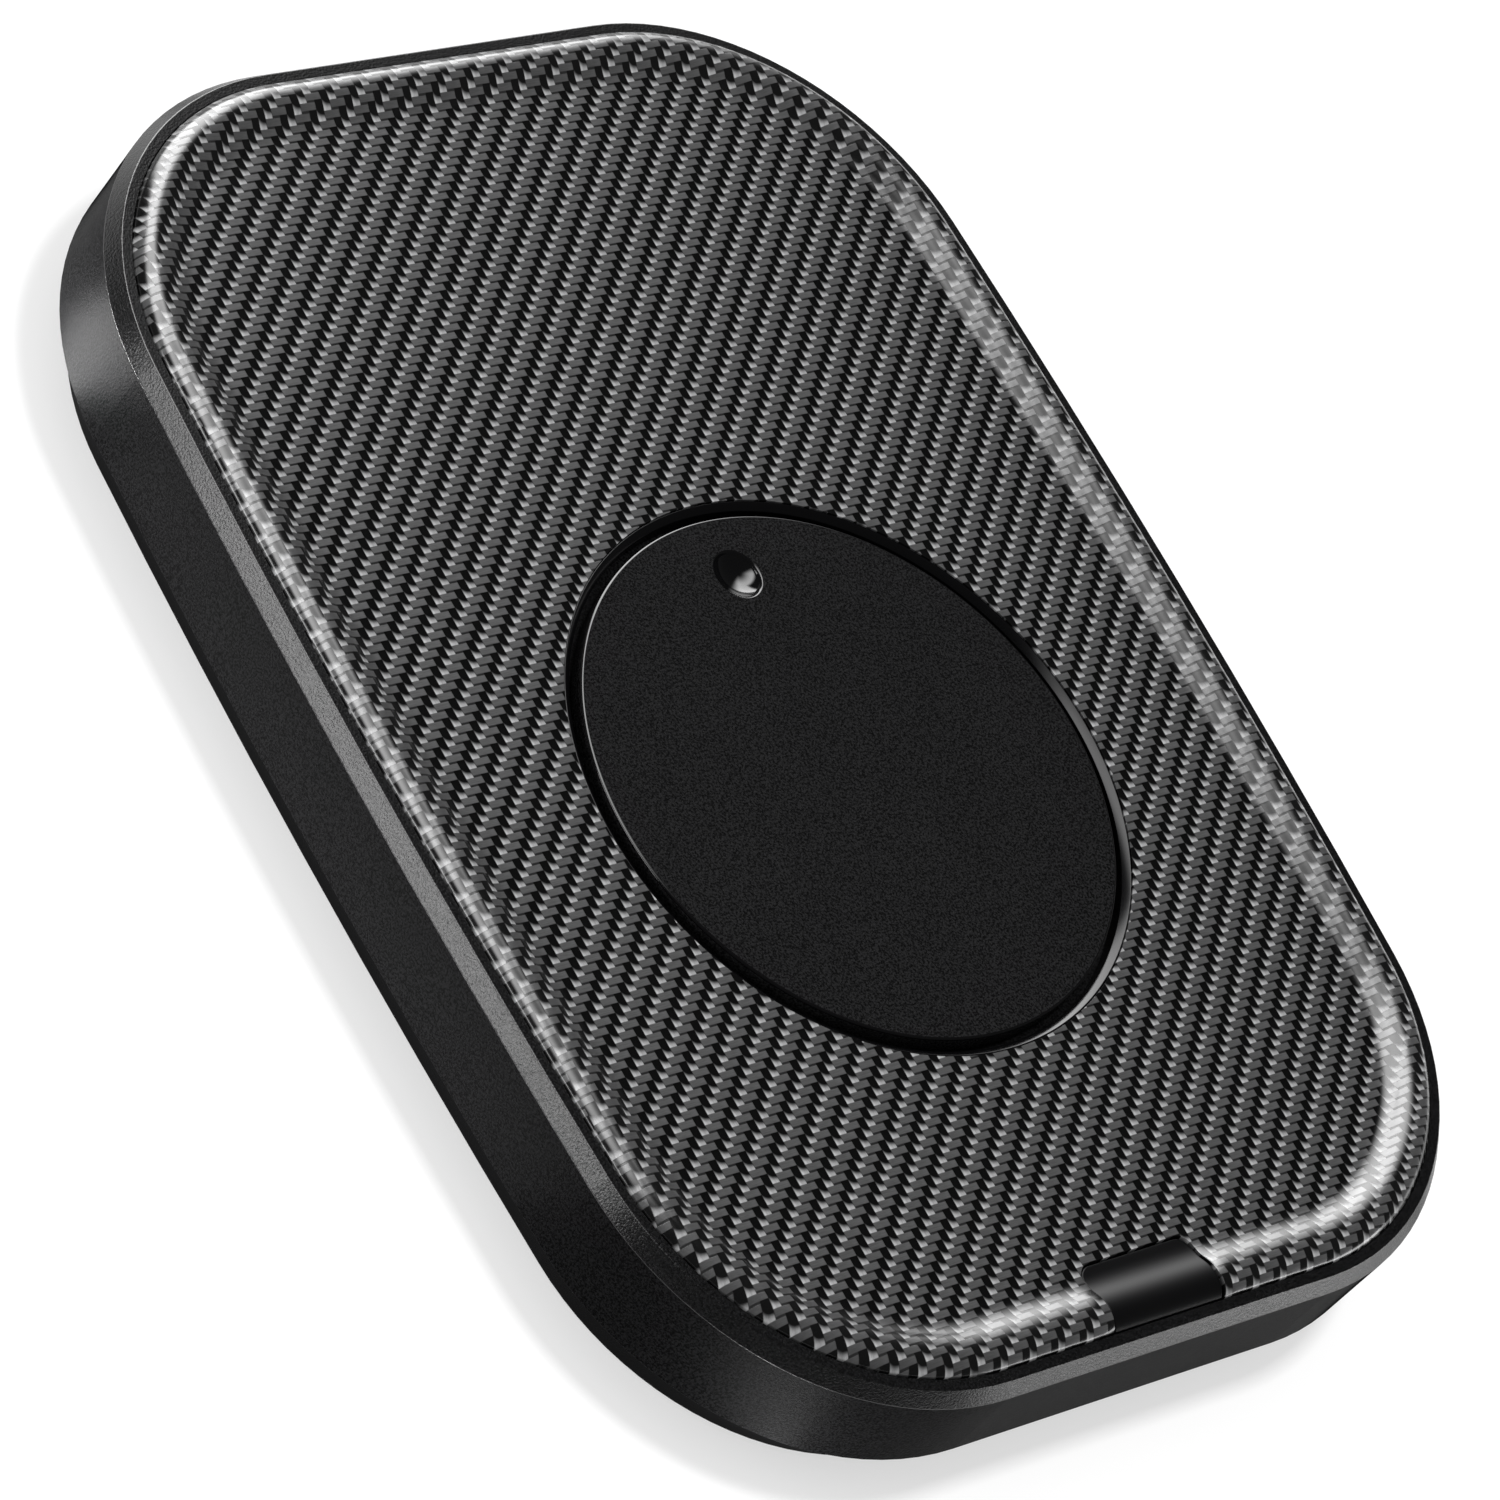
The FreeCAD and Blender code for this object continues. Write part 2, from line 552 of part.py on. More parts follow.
# ================================================================== gears
def gear_solid(teeth, addendum, dedendum, tooth_bearing, low, high, centre):
    """An involute spur gear with a tooth centred on tooth_bearing."""
    pitch = MODULE * teeth / 2
    base = pitch * math.cos(math.radians(PRESSURE_ANGLE))
    tip = pitch + addendum * MODULE
    root = pitch - dedendum * MODULE
    pressure = math.radians(PRESSURE_ANGLE)
    half_pitch = math.pi / (2 * teeth) - BACKLASH / (4 * pitch)

    def half_angle(radius):
        turn = math.acos(min(1.0, base / max(radius, base)))
        return half_pitch + math.tan(pressure) - pressure - math.tan(turn) + turn

    start = max(base, root)
    flank = [start + (tip - start) * step / (FLANK_POINTS - 1) for step in range(FLANK_POINTS)]
    if root < base:
        flank.insert(0, root)
    points = []
    for tooth in range(teeth):
        middle = math.radians(tooth_bearing) + 2 * math.pi * tooth / teeth
        right = [(radius, middle - half_angle(radius)) for radius in flank]
        left = [(radius, middle + half_angle(radius)) for radius in reversed(flank)]
        for radius, angle in right + left:
            points.append(Vector(centre[0] + radius * math.cos(angle),
                                 centre[1] + radius * math.sin(angle), low))
    face = Part.Face(Part.makePolygon(points + points[:1]))
    return face.extrude(UP * (high - low))


def ring_of_holes(count, radius, reach, low, high, centre):
    """Lightening holes in a ring about a centre."""
    holes = []
    for index in range(count):
        x, y = polar(reach, 360.0 * (index + 0.5) / count, centre)
        holes.append(rod(radius, low, high, x, y))
    return holes


# ================================================================== leads
def wire_solid(points, diameter):
    """A round wire along straight runs that are joined by tangent arcs."""
    edges = []
    start = points[0]
    for before, here, after in zip(points, points[1:], points[2:]):
        back = (before - here).normalize()
        ahead = (after - here).normalize()
        run = LEAD_ARC_SHARE * min((before - here).Length, (after - here).Length)
        half = back.getAngle(ahead) / 2
        radius = run * math.tan(half)
        bisector = (back + ahead).normalize()
        middle = here + bisector * (radius / math.sin(half) - radius)
        arc_start = here + back * run
        arc_end = here + ahead * run
        edges.append(Part.LineSegment(start, arc_start).toShape())
        edges.append(Part.Arc(arc_start, middle, arc_end).toShape())
        start = arc_end
    edges.append(Part.LineSegment(start, points[-1]).toShape())
    path = Part.Wire(edges)
    profile = Part.Wire(Part.makeCircle(diameter / 2, points[0], points[1] - points[0]))
    return path.makePipeShell([profile], True, False)


# ================================================================== the pieces
def upper_housing():
    """Rim, bevel, side wall and deck, with the disc's pocket and every boss below the deck."""
    section = section_face([
        (WALL_OUTER - WALL_DRAFT, WALL_FOOT_Z, RIM_EDGE_ROUND),
        (WALL_OUTER, RIM_Z - RIM_BEVEL_DROP, RIM_EDGE_ROUND),
        (RIM_WIDTH, RIM_Z, RIM_EDGE_ROUND),
        (PANEL_GAP, RIM_Z),
        (PANEL_GAP, DECK_Z),
        (-DECK_LEDGE, DECK_Z),
        (-DECK_LEDGE, DECK_UNDER_Z),
        (WALL_INNER, DECK_UNDER_Z),
        (WALL_INNER, WALL_FOOT_Z)])
    deck = plan_slab(-DECK_LEDGE, DECK_UNDER_Z, DECK_Z)
    deck = deck.cut(rod(DECK_HOLE, DECK_UNDER_Z, DECK_Z, 0, DISC_Y))
    web = turned([(0, WEB_UNDER_Z), (WEB_THICK_RADIUS, WEB_UNDER_Z),
                  (WEB_THICK_RADIUS, DECK_UNDER_Z), (WEB_RIM, DECK_UNDER_Z),
                  (WEB_RIM, WEB_Z), (0, WEB_Z)], 0, DISC_Y)
    boss_radius = BUSH_RADIUS + SPINDLE_BOSS_WALL
    solids = [swept_round(section), deck, web,
              rod(boss_radius, BOSS_UNDER_Z, WEB_UNDER_Z, 0, DISC_Y),
              rod(IDLER_BOSS_RADIUS, BOSS_UNDER_Z, DECK_UNDER_Z, *IDLER_AT)]
    holes = [rod(BUSH_RADIUS, BOSS_UNDER_Z, WEB_Z, 0, DISC_Y),
             rod(BUSH_FLANGE_RADIUS, WEB_Z - BUSH_FLANGE_THICKNESS, WEB_Z, 0, DISC_Y),
             rod(IDLER_PIN_RADIUS, BOSS_UNDER_Z, BOSS_UNDER_Z + IDLER_PIN_SEAT, *IDLER_AT)]
    bosses = [(x, y, MOTOR_BOSS_RADIUS, MOTOR_FLANGE_TOP_Z) for x, y in MOTOR_EARS]
    bosses += [(x, y, COVER_BOSS_RADIUS, FLOOR_Z) for x, y in COVER_SCREWS]
    bosses += [(x, y, BOARD_BOSS_RADIUS, MAIN_BOARD_TOP_Z) for x, y in MAIN_BOARD_SCREWS]
    bosses += [(x, y, BOARD_BOSS_RADIUS, KEY_BOARD_TOP_Z) for x, y in KEY_BOARD_SCREWS]
    for x, y, radius, low in bosses:
        body, pilot = boss(x, y, radius, low, DECK_UNDER_Z)
        solids.append(body)
        holes.append(pilot)
    holes.append(key_prism(KEY_GAP, DECK_UNDER_Z, RIM_Z - PANEL_THICKNESS))
    holes += usb_openings()
    return joined(solids).cut(holes)


def port_block(width, height, y0, y1, corner):
    """A block behind the port, with its four edges along Y rounded."""
    corners = [(-width / 2, -height / 2, corner), (width / 2, -height / 2, corner),
               (width / 2, height / 2, corner), (-width / 2, height / 2, corner)]
    wire = Part.Wire(rounded_edges(corners, lambda p: Vector(p.x, y0, USB_MIDDLE_Z + p.y)))
    return Part.Face(wire).extrude(Vector(0, y1 - y0, 0))


def usb_openings():
    """The slot for the USB shell in the back wall, and the recess for a plug's body."""
    outside = HALF_LENGTH + WALL_OUTER + PORT_RECESS_DEPTH
    inside = HALF_LENGTH + WALL_INNER - WALL_THICKNESS
    width, height = USB_WIDTH + 2 * USB_FIT, USB_HEIGHT + 2 * USB_FIT
    slot = port_block(width, height, inside, outside, height / 2)
    recess = port_block(PORT_RECESS_WIDTH, PORT_RECESS_HEIGHT, USB_MOUTH_Y, outside,
                        PORT_RECESS_CORNER)
    return [slot, recess]


def tray_panel():
    """The patterned panel: a flat floor inside a hollow bead."""
    top, outer_end = bead_edges(RIM_Z)
    land = math.asin((BEAD_CREST_INSET - BEAD_LAND) / BEAD_OUTER_RADIUS)
    lower, inner_end = bead_edges(PANEL_UNDER_Z, land)
    corners = [outer_end, Vector(0, 0, PANEL_UNDER_Z), Vector(-BEAD_LAND, 0, PANEL_UNDER_Z),
               inner_end]
    sides = [Part.LineSegment(a, b).toShape() for a, b in zip(corners, corners[1:])]
    foot = Part.LineSegment(foot_point(0.0, PANEL_UNDER_Z), foot_point(0.0, RIM_Z)).toShape()
    section = Part.Face(Part.Wire(Part.__sortEdges__(top + sides + lower + [foot])))
    floor = plan_slab(-BEAD_WIDTH, PANEL_UNDER_Z, RIM_Z)
    hole = rod(PANEL_HOLE, PANEL_UNDER_Z, RIM_Z, 0, DISC_Y)
    notch = key_prism(KEY_GAP, PANEL_UNDER_Z, RIM_Z + BEAD_HEIGHT)
    return joined([swept_round(section), floor]).cut([hole, notch])


def panel_tape():
    """The bonding sheet between the deck and the panel."""
    sheet = plan_slab(-BEAD_WIDTH, DECK_Z, PANEL_UNDER_Z)
    hole = rod(DECK_HOLE, DECK_Z, PANEL_UNDER_Z, 0, DISC_Y)
    return sheet.cut([hole, key_prism(2 * KEY_GAP, DECK_Z, PANEL_UNDER_Z)])


def disc_bezel():
    """The ring round the disc: a bevelled lip over a flange that the panel holds down."""
    return turned([
        (BEZEL_BORE, WEB_Z),
        (BEZEL_SEAT, WEB_Z),
        (BEZEL_SEAT, PANEL_UNDER_Z),
        (BEZEL_OUTER, PANEL_UNDER_Z),
        (BEZEL_OUTER, RIM_Z),
        (BEZEL_BORE, RIM_Z - BEZEL_LIP_DROP, BEZEL_EDGE_ROUND)], 0, DISC_Y)


def turntable_disc():
    """The disc, with its rounded edge, finger dimple and the seat of the spindle's flange."""
    body = turned([(0, DISC_UNDER_Z), (DISC_RADIUS, DISC_UNDER_Z),
                   (DISC_RADIUS, RIM_Z, DISC_EDGE_ROUND), (0, RIM_Z)], 0, DISC_Y)
    seat = rod(SPINDLE_FLANGE_RADIUS, DISC_UNDER_Z, DISC_UNDER_Z + SPINDLE_FLANGE_THICKNESS,
               0, DISC_Y)
    ball = (DIMPLE_RADIUS ** 2 + DIMPLE_DEPTH ** 2) / (2 * DIMPLE_DEPTH)
    dimple = Part.makeSphere(ball, Vector(0, DISC_Y + DIMPLE_REACH, RIM_Z + ball - DIMPLE_DEPTH))
    return body.cut([seat, dimple])


def drive_flats(low, high):
    """The slab between the spindle's two drive flats."""
    reach = 2 * SPINDLE_RADIUS
    return slab(-reach, reach, DISC_Y - SPINDLE_FLAT, DISC_Y + SPINDLE_FLAT, low, high)


def turntable_spindle():
    """The flanged spindle: a round journal with a double-flat end, bored for its screw."""
    end = GEAR_HUB_UNDER_Z + SPINDLE_END_RELIEF
    flange_top = DISC_UNDER_Z + SPINDLE_FLANGE_THICKNESS
    solids = [rod(SPINDLE_FLANGE_RADIUS, DISC_UNDER_Z, flange_top, 0, DISC_Y),
              rod(SPINDLE_RADIUS, GEAR_HUB_TOP_Z, DISC_UNDER_Z, 0, DISC_Y),
              rod(SPINDLE_RADIUS, end, GEAR_HUB_TOP_Z, 0, DISC_Y).common(
                  drive_flats(end, GEAR_HUB_TOP_Z))]
    bore = rod(GEAR_SCREW_RADIUS, end, GEAR_HUB_UNDER_Z + GEAR_SCREW_LENGTH, 0, DISC_Y)
    return joined(solids).cut(bore)


def spindle_bush():
    """The flanged bush in the housing's boss."""
    return turned([(BUSH_BORE, BOSS_UNDER_Z), (BUSH_RADIUS, BOSS_UNDER_Z),
                   (BUSH_RADIUS, WEB_Z - BUSH_FLANGE_THICKNESS),
                   (BUSH_FLANGE_RADIUS, WEB_Z - BUSH_FLANGE_THICKNESS),
                   (BUSH_FLANGE_RADIUS, WEB_Z), (BUSH_BORE, WEB_Z)], 0, DISC_Y)


def thrust_washer():
    """The slippery washer that carries the disc."""
    return tube(THRUST_WASHER_RADIUS, BUSH_BORE, WEB_Z, DISC_UNDER_Z - THRUST_PLAY, 0, DISC_Y)


def turntable_gear():
    """The large gear on the spindle."""
    centre = (0.0, DISC_Y)
    teeth = gear_solid(TURNTABLE_TEETH, WHEEL_ADDENDUM, PINION_ADDENDUM + ROOT_CLEARANCE,
                       IDLER_BEARING, GEAR_UNDER_Z, GEAR_TOP_Z, centre)
    hub = rod(GEAR_HUB_RADIUS, GEAR_HUB_UNDER_Z, GEAR_HUB_TOP_Z, *centre)
    bore = rod(SPINDLE_RADIUS, GEAR_HUB_UNDER_Z, GEAR_HUB_TOP_Z, *centre).common(
        drive_flats(GEAR_HUB_UNDER_Z, GEAR_HUB_TOP_Z))
    holes = ring_of_holes(LIGHTENING_HOLES, LIGHTENING_RADIUS, LIGHTENING_REACH,
                          GEAR_UNDER_Z, GEAR_TOP_Z, centre)
    return joined([teeth, hub]).cut(holes + [bore])


def gear_washer():
    """The washer under the gear's hub."""
    return tube(GEAR_WASHER_RADIUS, GEAR_SCREW_RADIUS,
                GEAR_HUB_UNDER_Z - GEAR_WASHER_THICKNESS, GEAR_HUB_UNDER_Z, 0, DISC_Y)


def gear_screw():
    """The screw that holds the gear on the spindle."""
    seat = GEAR_HUB_UNDER_Z - GEAR_WASHER_THICKNESS
    low = seat - GEAR_SCREW_HEAD_HEIGHT
    head = rod(GEAR_SCREW_HEAD_RADIUS, low, seat, 0, DISC_Y)
    shank = rod(GEAR_SCREW_RADIUS, seat, GEAR_HUB_UNDER_Z + GEAR_SCREW_LENGTH, 0, DISC_Y)
    half = GEAR_SCREW_HEAD_RADIUS * 0.62
    slots = [slab(-half, half, DISC_Y - SCREW_SLOT, DISC_Y + SCREW_SLOT,
                  low, low + SCREW_SLOT_DEPTH),
             slab(-SCREW_SLOT, SCREW_SLOT, DISC_Y - half, DISC_Y + half,
                  low, low + SCREW_SLOT_DEPTH)]
    return joined([head, shank]).cut(joined(slots))


def idler_gear():
    """The compound idler: a small pinion in mesh with the turntable, on a large wheel."""
    pinion = gear_solid(IDLER_PINION_TEETH, PINION_ADDENDUM, WHEEL_ADDENDUM + ROOT_CLEARANCE,
                        IDLER_BEARING + 180 + 180.0 / IDLER_PINION_TEETH,
                        WHEEL_UNDER_Z, IDLER_TOP_Z, IDLER_AT)
    wheel = gear_solid(IDLER_WHEEL_TEETH, WHEEL_ADDENDUM, PINION_ADDENDUM + ROOT_CLEARANCE,
                       MOTOR_BEARING, WHEEL_UNDER_Z, WHEEL_TOP_Z, IDLER_AT)
    bore = rod(IDLER_PIN_RADIUS + IDLER_PIN_CLEARANCE, WHEEL_UNDER_Z, IDLER_TOP_Z, *IDLER_AT)
    holes = ring_of_holes(IDLER_HOLES, IDLER_HOLE_RADIUS, IDLER_HOLE_REACH,
                          WHEEL_UNDER_Z, WHEEL_TOP_Z, IDLER_AT)
    return joined([wheel, pinion]).cut(holes + [bore])


def idler_pin():
    """The fixed pin that the idler turns on."""
    return rod(IDLER_PIN_RADIUS, FLOOR_Z + IDLER_PIN_FLOOR_GAP, BOSS_UNDER_Z + IDLER_PIN_SEAT,
               *IDLER_AT)


def idler_washer():
    """The washer between the idler and its boss."""
    top = BOSS_UNDER_Z - WASHER_PLAY
    return tube(IDLER_BOSS_RADIUS, IDLER_PIN_RADIUS, top - WASHER_THICKNESS, top, *IDLER_AT)


def idler_clip():
    """The push-on clip that keeps the idler on its pin, with a slit for springing it open."""
    top = WHEEL_UNDER_Z - WASHER_PLAY
    ring = tube(CLIP_RADIUS, IDLER_PIN_RADIUS, top - CLIP_THICKNESS, top, *IDLER_AT)
    x, y = IDLER_AT
    half = IDLER_PIN_RADIUS / 2
    slit = slab(x - half, x + half, y + half, y + 2 * CLIP_RADIUS, top - CLIP_THICKNESS, top)
    return ring.cut(slit)


def motor_can():
    """The stepper motor's can, with the blind bore that its shaft turns in."""
    body = turned([(0, MOTOR_FLANGE_TOP_Z), (MOTOR_RADIUS, MOTOR_FLANGE_TOP_Z),
                   (MOTOR_RADIUS, MOTOR_TOP_Z, MOTOR_EDGE_ROUND), (0, MOTOR_TOP_Z)], *MOTOR_AT)
    bore = rod(MOTOR_SHAFT_RADIUS + MOTOR_SHAFT_CLEARANCE, MOTOR_FLANGE_TOP_Z,
               MOTOR_FLANGE_TOP_Z + MOTOR_SHAFT_DEPTH + MOTOR_SHAFT_CLEARANCE, *MOTOR_AT)
    return body.cut(bore)


def motor_flange():
    """The motor's mounting plate, with an ear for each screw and a hole for the collar."""
    solids = [rod(MOTOR_RADIUS, MOTOR_FLANGE_UNDER_Z, MOTOR_FLANGE_TOP_Z, *MOTOR_AT)]
    strip = slab(-MOTOR_EAR_REACH, MOTOR_EAR_REACH, -MOTOR_EAR_RADIUS, MOTOR_EAR_RADIUS,
                 MOTOR_FLANGE_UNDER_Z, MOTOR_FLANGE_TOP_Z)
    strip.rotate(Vector(0, 0, 0), UP, MOTOR_EAR_BEARING)
    strip.translate(Vector(*MOTOR_AT, 0))
    solids.append(strip)
    holes = [rod(MOTOR_SHAFT_RADIUS + MOTOR_SHAFT_CLEARANCE, MOTOR_FLANGE_UNDER_Z,
                 MOTOR_FLANGE_TOP_Z, *MOTOR_AT)]
    for x, y in MOTOR_EARS:
        solids.append(rod(MOTOR_EAR_RADIUS, MOTOR_FLANGE_UNDER_Z, MOTOR_FLANGE_TOP_Z, x, y))
        holes.append(rod(SCREW_RADIUS + SCREW_HOLE_FIT, MOTOR_FLANGE_UNDER_Z,
                         MOTOR_FLANGE_TOP_Z, x, y))
    return joined(solids).cut(holes)


def motor_shaft():
    """The motor's shaft, out through the flange to the end of its pinion."""
    return rod(MOTOR_SHAFT_RADIUS, WHEEL_UNDER_Z - 2 * PINION_OVERHANG,
               MOTOR_FLANGE_TOP_Z + MOTOR_SHAFT_DEPTH, *MOTOR_AT)


def motor_pinion():
    """The pinion pressed on the motor's shaft."""
    low, high = WHEEL_UNDER_Z - PINION_OVERHANG, WHEEL_TOP_Z + PINION_OVERHANG
    teeth = gear_solid(MOTOR_PINION_TEETH, PINION_ADDENDUM, WHEEL_ADDENDUM + ROOT_CLEARANCE,
                       MOTOR_BEARING + 180 + 180.0 / MOTOR_PINION_TEETH, low, high, MOTOR_AT)
    return teeth.cut(rod(MOTOR_SHAFT_RADIUS, low, high, *MOTOR_AT))


def motor_terminal_block():
    """The moulded block on the can's side that the lead comes out of."""
    low = MOTOR_MIDDLE_Z - TERMINAL_HEIGHT / 2
    block = slab(0, MOTOR_RADIUS + TERMINAL_REACH, -TERMINAL_WIDTH / 2, TERMINAL_WIDTH / 2,
                 low, low + TERMINAL_HEIGHT)
    block = block.cut(rod(MOTOR_RADIUS, low, low + TERMINAL_HEIGHT))
    block.rotate(Vector(0, 0, 0), UP, TERMINAL_BEARING)
    block.translate(Vector(*MOTOR_AT, 0))
    return block


def bottom_cover():
    """The tapered base: floor, side, locating lip, stakes, lead ribs, screw and foot pockets."""
    section = section_face([
        (PLINTH_FOOT, COVER_UNDER_Z, COVER_EDGE_ROUND),
        (LIP_OUTER, WALL_FOOT_Z),
        (LIP_OUTER, LIP_TOP_Z),
        (COVER_INNER, LIP_TOP_Z),
        (COVER_INNER, COVER_UNDER_Z)])
    solids = [swept_round(section), plan_slab(COVER_INNER, COVER_UNDER_Z, FLOOR_Z)]
    stake_top = FLOOR_Z + BALLAST_THICKNESS
    for x, y in ballast_stakes():
        solids.append(rod(BALLAST_STAKE_RADIUS, FLOOR_Z, stake_top, x, y))
        solids.append(rod(BALLAST_STAKE_HEAD, stake_top,
                          stake_top + BALLAST_STAKE_HEAD_HEIGHT, x, y))
    solids += lead_ribs()
    holes = []
    for x, y in COVER_SCREWS:
        pocket_top = COVER_UNDER_Z + COVER_HEAD_SINK + SCREW_HEAD_HEIGHT
        holes.append(rod(SCREW_HEAD_RADIUS + SCREW_POCKET_FIT, COVER_UNDER_Z, pocket_top, x, y))
        holes.append(rod(SCREW_RADIUS + SCREW_HOLE_FIT, COVER_UNDER_Z, FLOOR_Z, x, y))
    for sides in FEET.values():
        holes.append(rod(FOOT_RADIUS + FOOT_FIT, COVER_UNDER_Z, FOOT_THICKNESS,
                         *foot_place(sides)))
    return joined(solids).cut(holes)


def ballast_stakes():
    """The places of the stakes that hold the two ballast plates."""
    return [(side * BALLAST_X, end * BALLAST_STAKE_SPAN / 2)
            for side in (-1, 1) for end in (-1, 1)]


def ballast_plate(side):
    """A steel plate on the floor, held by two stakes."""
    x = side * BALLAST_X
    top = FLOOR_Z + BALLAST_THICKNESS
    plate = slab(x - BALLAST_WIDTH / 2, x + BALLAST_WIDTH / 2, -BALLAST_LENGTH / 2,
                 BALLAST_LENGTH / 2, FLOOR_Z, top, BALLAST_CORNER)
    return plate.cut([rod(BALLAST_STAKE_RADIUS, FLOOR_Z, top, px, py)
                      for px, py in ballast_stakes() if px * side > 0])


def lead_ribs():
    """Pairs of short ribs that keep the key lead in its lane."""
    ribs = []
    half = KEY_WIRES * WIRE_PITCH / 2 + LEAD_RIB_GAP
    for end in (-1, 1):
        y = end * LEAD_RIB_SPAN / 2
        for side in (-1, 1):
            x = -LEAD_LANE + side * (half + LEAD_RIB_THICKNESS / 2)
            ribs.append(slab(x - LEAD_RIB_THICKNESS / 2, x + LEAD_RIB_THICKNESS / 2,
                             y - LEAD_RIB_LENGTH / 2, y + LEAD_RIB_LENGTH / 2,
                             FLOOR_Z, FLOOR_Z + LEAD_RIB_HEIGHT))
    return ribs


def rubber_foot(sides):
    """A round foot in its pocket, standing on the desk."""
    return turned([(0, 0), (FOOT_RADIUS, 0, FOOT_EDGE_ROUND), (FOOT_RADIUS, FOOT_THICKNESS),
                   (0, FOOT_THICKNESS)], *foot_place(sides))


def power_key():
    """The key: the bead's own shape, let down a little, over a retaining flange and a stem."""
    level = RIM_Z - KEY_DROP
    top, outer_end = bead_edges(level)
    inner = Vector(-KEY_DEPTH, 0, level)
    corners = [outer_end, Vector(0, 0, KEY_FLANGE_TOP_Z),
               Vector(-KEY_DEPTH, 0, KEY_FLANGE_TOP_Z), inner, foot_point(0.0, level)]
    sides = [Part.LineSegment(a, b).toShape() for a, b in zip(corners, corners[1:])]
    face = Part.Face(Part.Wire(Part.__sortEdges__(top + sides)))
    face.rotate(Vector(0, 0, 0), UP, -90)
    face.translate(Vector(-KEY_WIDTH, -HALF_LENGTH, 0))
    cap = face.extrude(Vector(2 * KEY_WIDTH, 0, 0))
    cap = cap.common(key_prism(0.0, KEY_FLANGE_TOP_Z, RIM_Z + BEAD_HEIGHT))
    half = KEY_WIDTH / 2 + KEY_FLANGE
    flange = slab(-half, half, -HALF_LENGTH - PANEL_GAP + KEY_GAP,
                  KEY_DEPTH + KEY_FLANGE - HALF_LENGTH, KEY_FLANGE_UNDER_Z, KEY_FLANGE_TOP_Z)
    stem = rod(KEY_STEM_RADIUS, KEY_STEM_UNDER_Z, KEY_FLANGE_UNDER_Z, 0, SWITCH_Y)
    return joined([cap, flange, stem])


def key_plunger():
    """The switch's plunger, against the key's stem."""
    return rod(PLUNGER_RADIUS, KEY_STEM_UNDER_Z - PLUNGER_LENGTH, KEY_STEM_UNDER_Z, 0, SWITCH_Y)


def key_switch():
    """The switch's body, with the bore that its plunger slides in."""
    half = SWITCH_SIZE / 2
    body = slab(-half, half, SWITCH_Y - half, SWITCH_Y + half, KEY_BOARD_TOP_Z, SWITCH_TOP_Z)
    bottom = KEY_STEM_UNDER_Z - PLUNGER_LENGTH - KEY_TRAVEL - PLUNGER_END_GAP
    return body.cut(rod(PLUNGER_RADIUS + PLUNGER_CLEARANCE, bottom, SWITCH_TOP_Z, 0, SWITCH_Y))


def board(half_width, y0, y1, low, screws):
    """A circuit board with a hole for each screw."""
    plate = slab(-half_width, half_width, y0, y1, low, low + BOARD_THICKNESS, BOARD_CORNER)
    return plate.cut([rod(SCREW_RADIUS + SCREW_HOLE_FIT, low, low + BOARD_THICKNESS, x, y)
                      for x, y in screws])


def key_board():
    """The small board at the front."""
    return board(KEY_BOARD_WIDTH / 2, -BOARD_LIMIT_Y, KEY_BOARD_INNER_Y, KEY_BOARD_UNDER_Z,
                 KEY_BOARD_SCREWS)


def main_board():
    """The board at the back."""
    return board(MAIN_BOARD_WIDTH / 2, MAIN_BOARD_FRONT_Y, BOARD_LIMIT_Y, MAIN_BOARD_UNDER_Z,
                 MAIN_BOARD_SCREWS)


def usb_shell():
    """The port's metal shell: a closed-backed cup with round sides."""
    back = USB_MOUTH_Y - USB_DEPTH
    outer = port_block(USB_WIDTH, USB_HEIGHT, back, USB_MOUTH_Y, USB_HEIGHT / 2)
    inner_height = USB_HEIGHT - 2 * USB_WALL
    inner = port_block(USB_WIDTH - 2 * USB_WALL, inner_height, back + USB_WALL, USB_MOUTH_Y,
                       inner_height / 2)
    return outer.cut(inner)


def usb_tongue():
    """The port's contact tongue."""
    half = USB_TONGUE_THICKNESS / 2
    return slab(-USB_TONGUE_WIDTH / 2, USB_TONGUE_WIDTH / 2, USB_MOUTH_Y - USB_DEPTH + USB_WALL,
                USB_MOUTH_Y - USB_TONGUE_SETBACK, USB_MIDDLE_Z - half, USB_MIDDLE_Z + half)


def under_board(x, y, length, width, height):
    """A component on the underside of the main board."""
    return slab(x - length / 2, x + length / 2, y - width / 2, y + width / 2,
                MAIN_BOARD_UNDER_Z - height, MAIN_BOARD_UNDER_Z)


PART_ROW_Y = MAIN_BOARD_FRONT_Y + PART_ROW_INSET


def chip_capacitors():
    """A row of small capacitors behind the chips."""
    y = BOARD_LIMIT_Y - CAPACITOR_PITCH
    start = -CAPACITOR_PITCH * (CAPACITOR_COUNT - 1) / 2
    return grouped([under_board(start + CAPACITOR_PITCH * index, y, CAPACITOR_WIDTH,
                                CAPACITOR_LENGTH, CAPACITOR_HEIGHT)
                    for index in range(CAPACITOR_COUNT)])


def header(x, mouth_y, facing, wires, board_under):
    """A lead's header under a board: facing is -1 where its mouth looks to the front."""
    half = wires * WIRE_PITCH / 2 + HEADER_END_WALL
    back_y = mouth_y - facing * HEADER_DEPTH
    return slab(x - half, x + half, min(mouth_y, back_y), max(mouth_y, back_y),
                board_under - HEADER_HEIGHT, board_under)


MAIN_HEADER_Y = MAIN_BOARD_FRONT_Y + HEADER_SETBACK
MAIN_HEADER_Z = MAIN_BOARD_UNDER_Z - HEADER_HEIGHT / 2
KEY_HEADER_Y = KEY_BOARD_INNER_Y - HEADER_SETBACK
KEY_HEADER_Z = KEY_BOARD_UNDER_Z - HEADER_HEIGHT / 2


def wire_offsets(count):
    """How far each wire of a lead lies from the lead's middle."""
    return [WIRE_PITCH * (index - (count - 1) / 2) for index in range(count)]


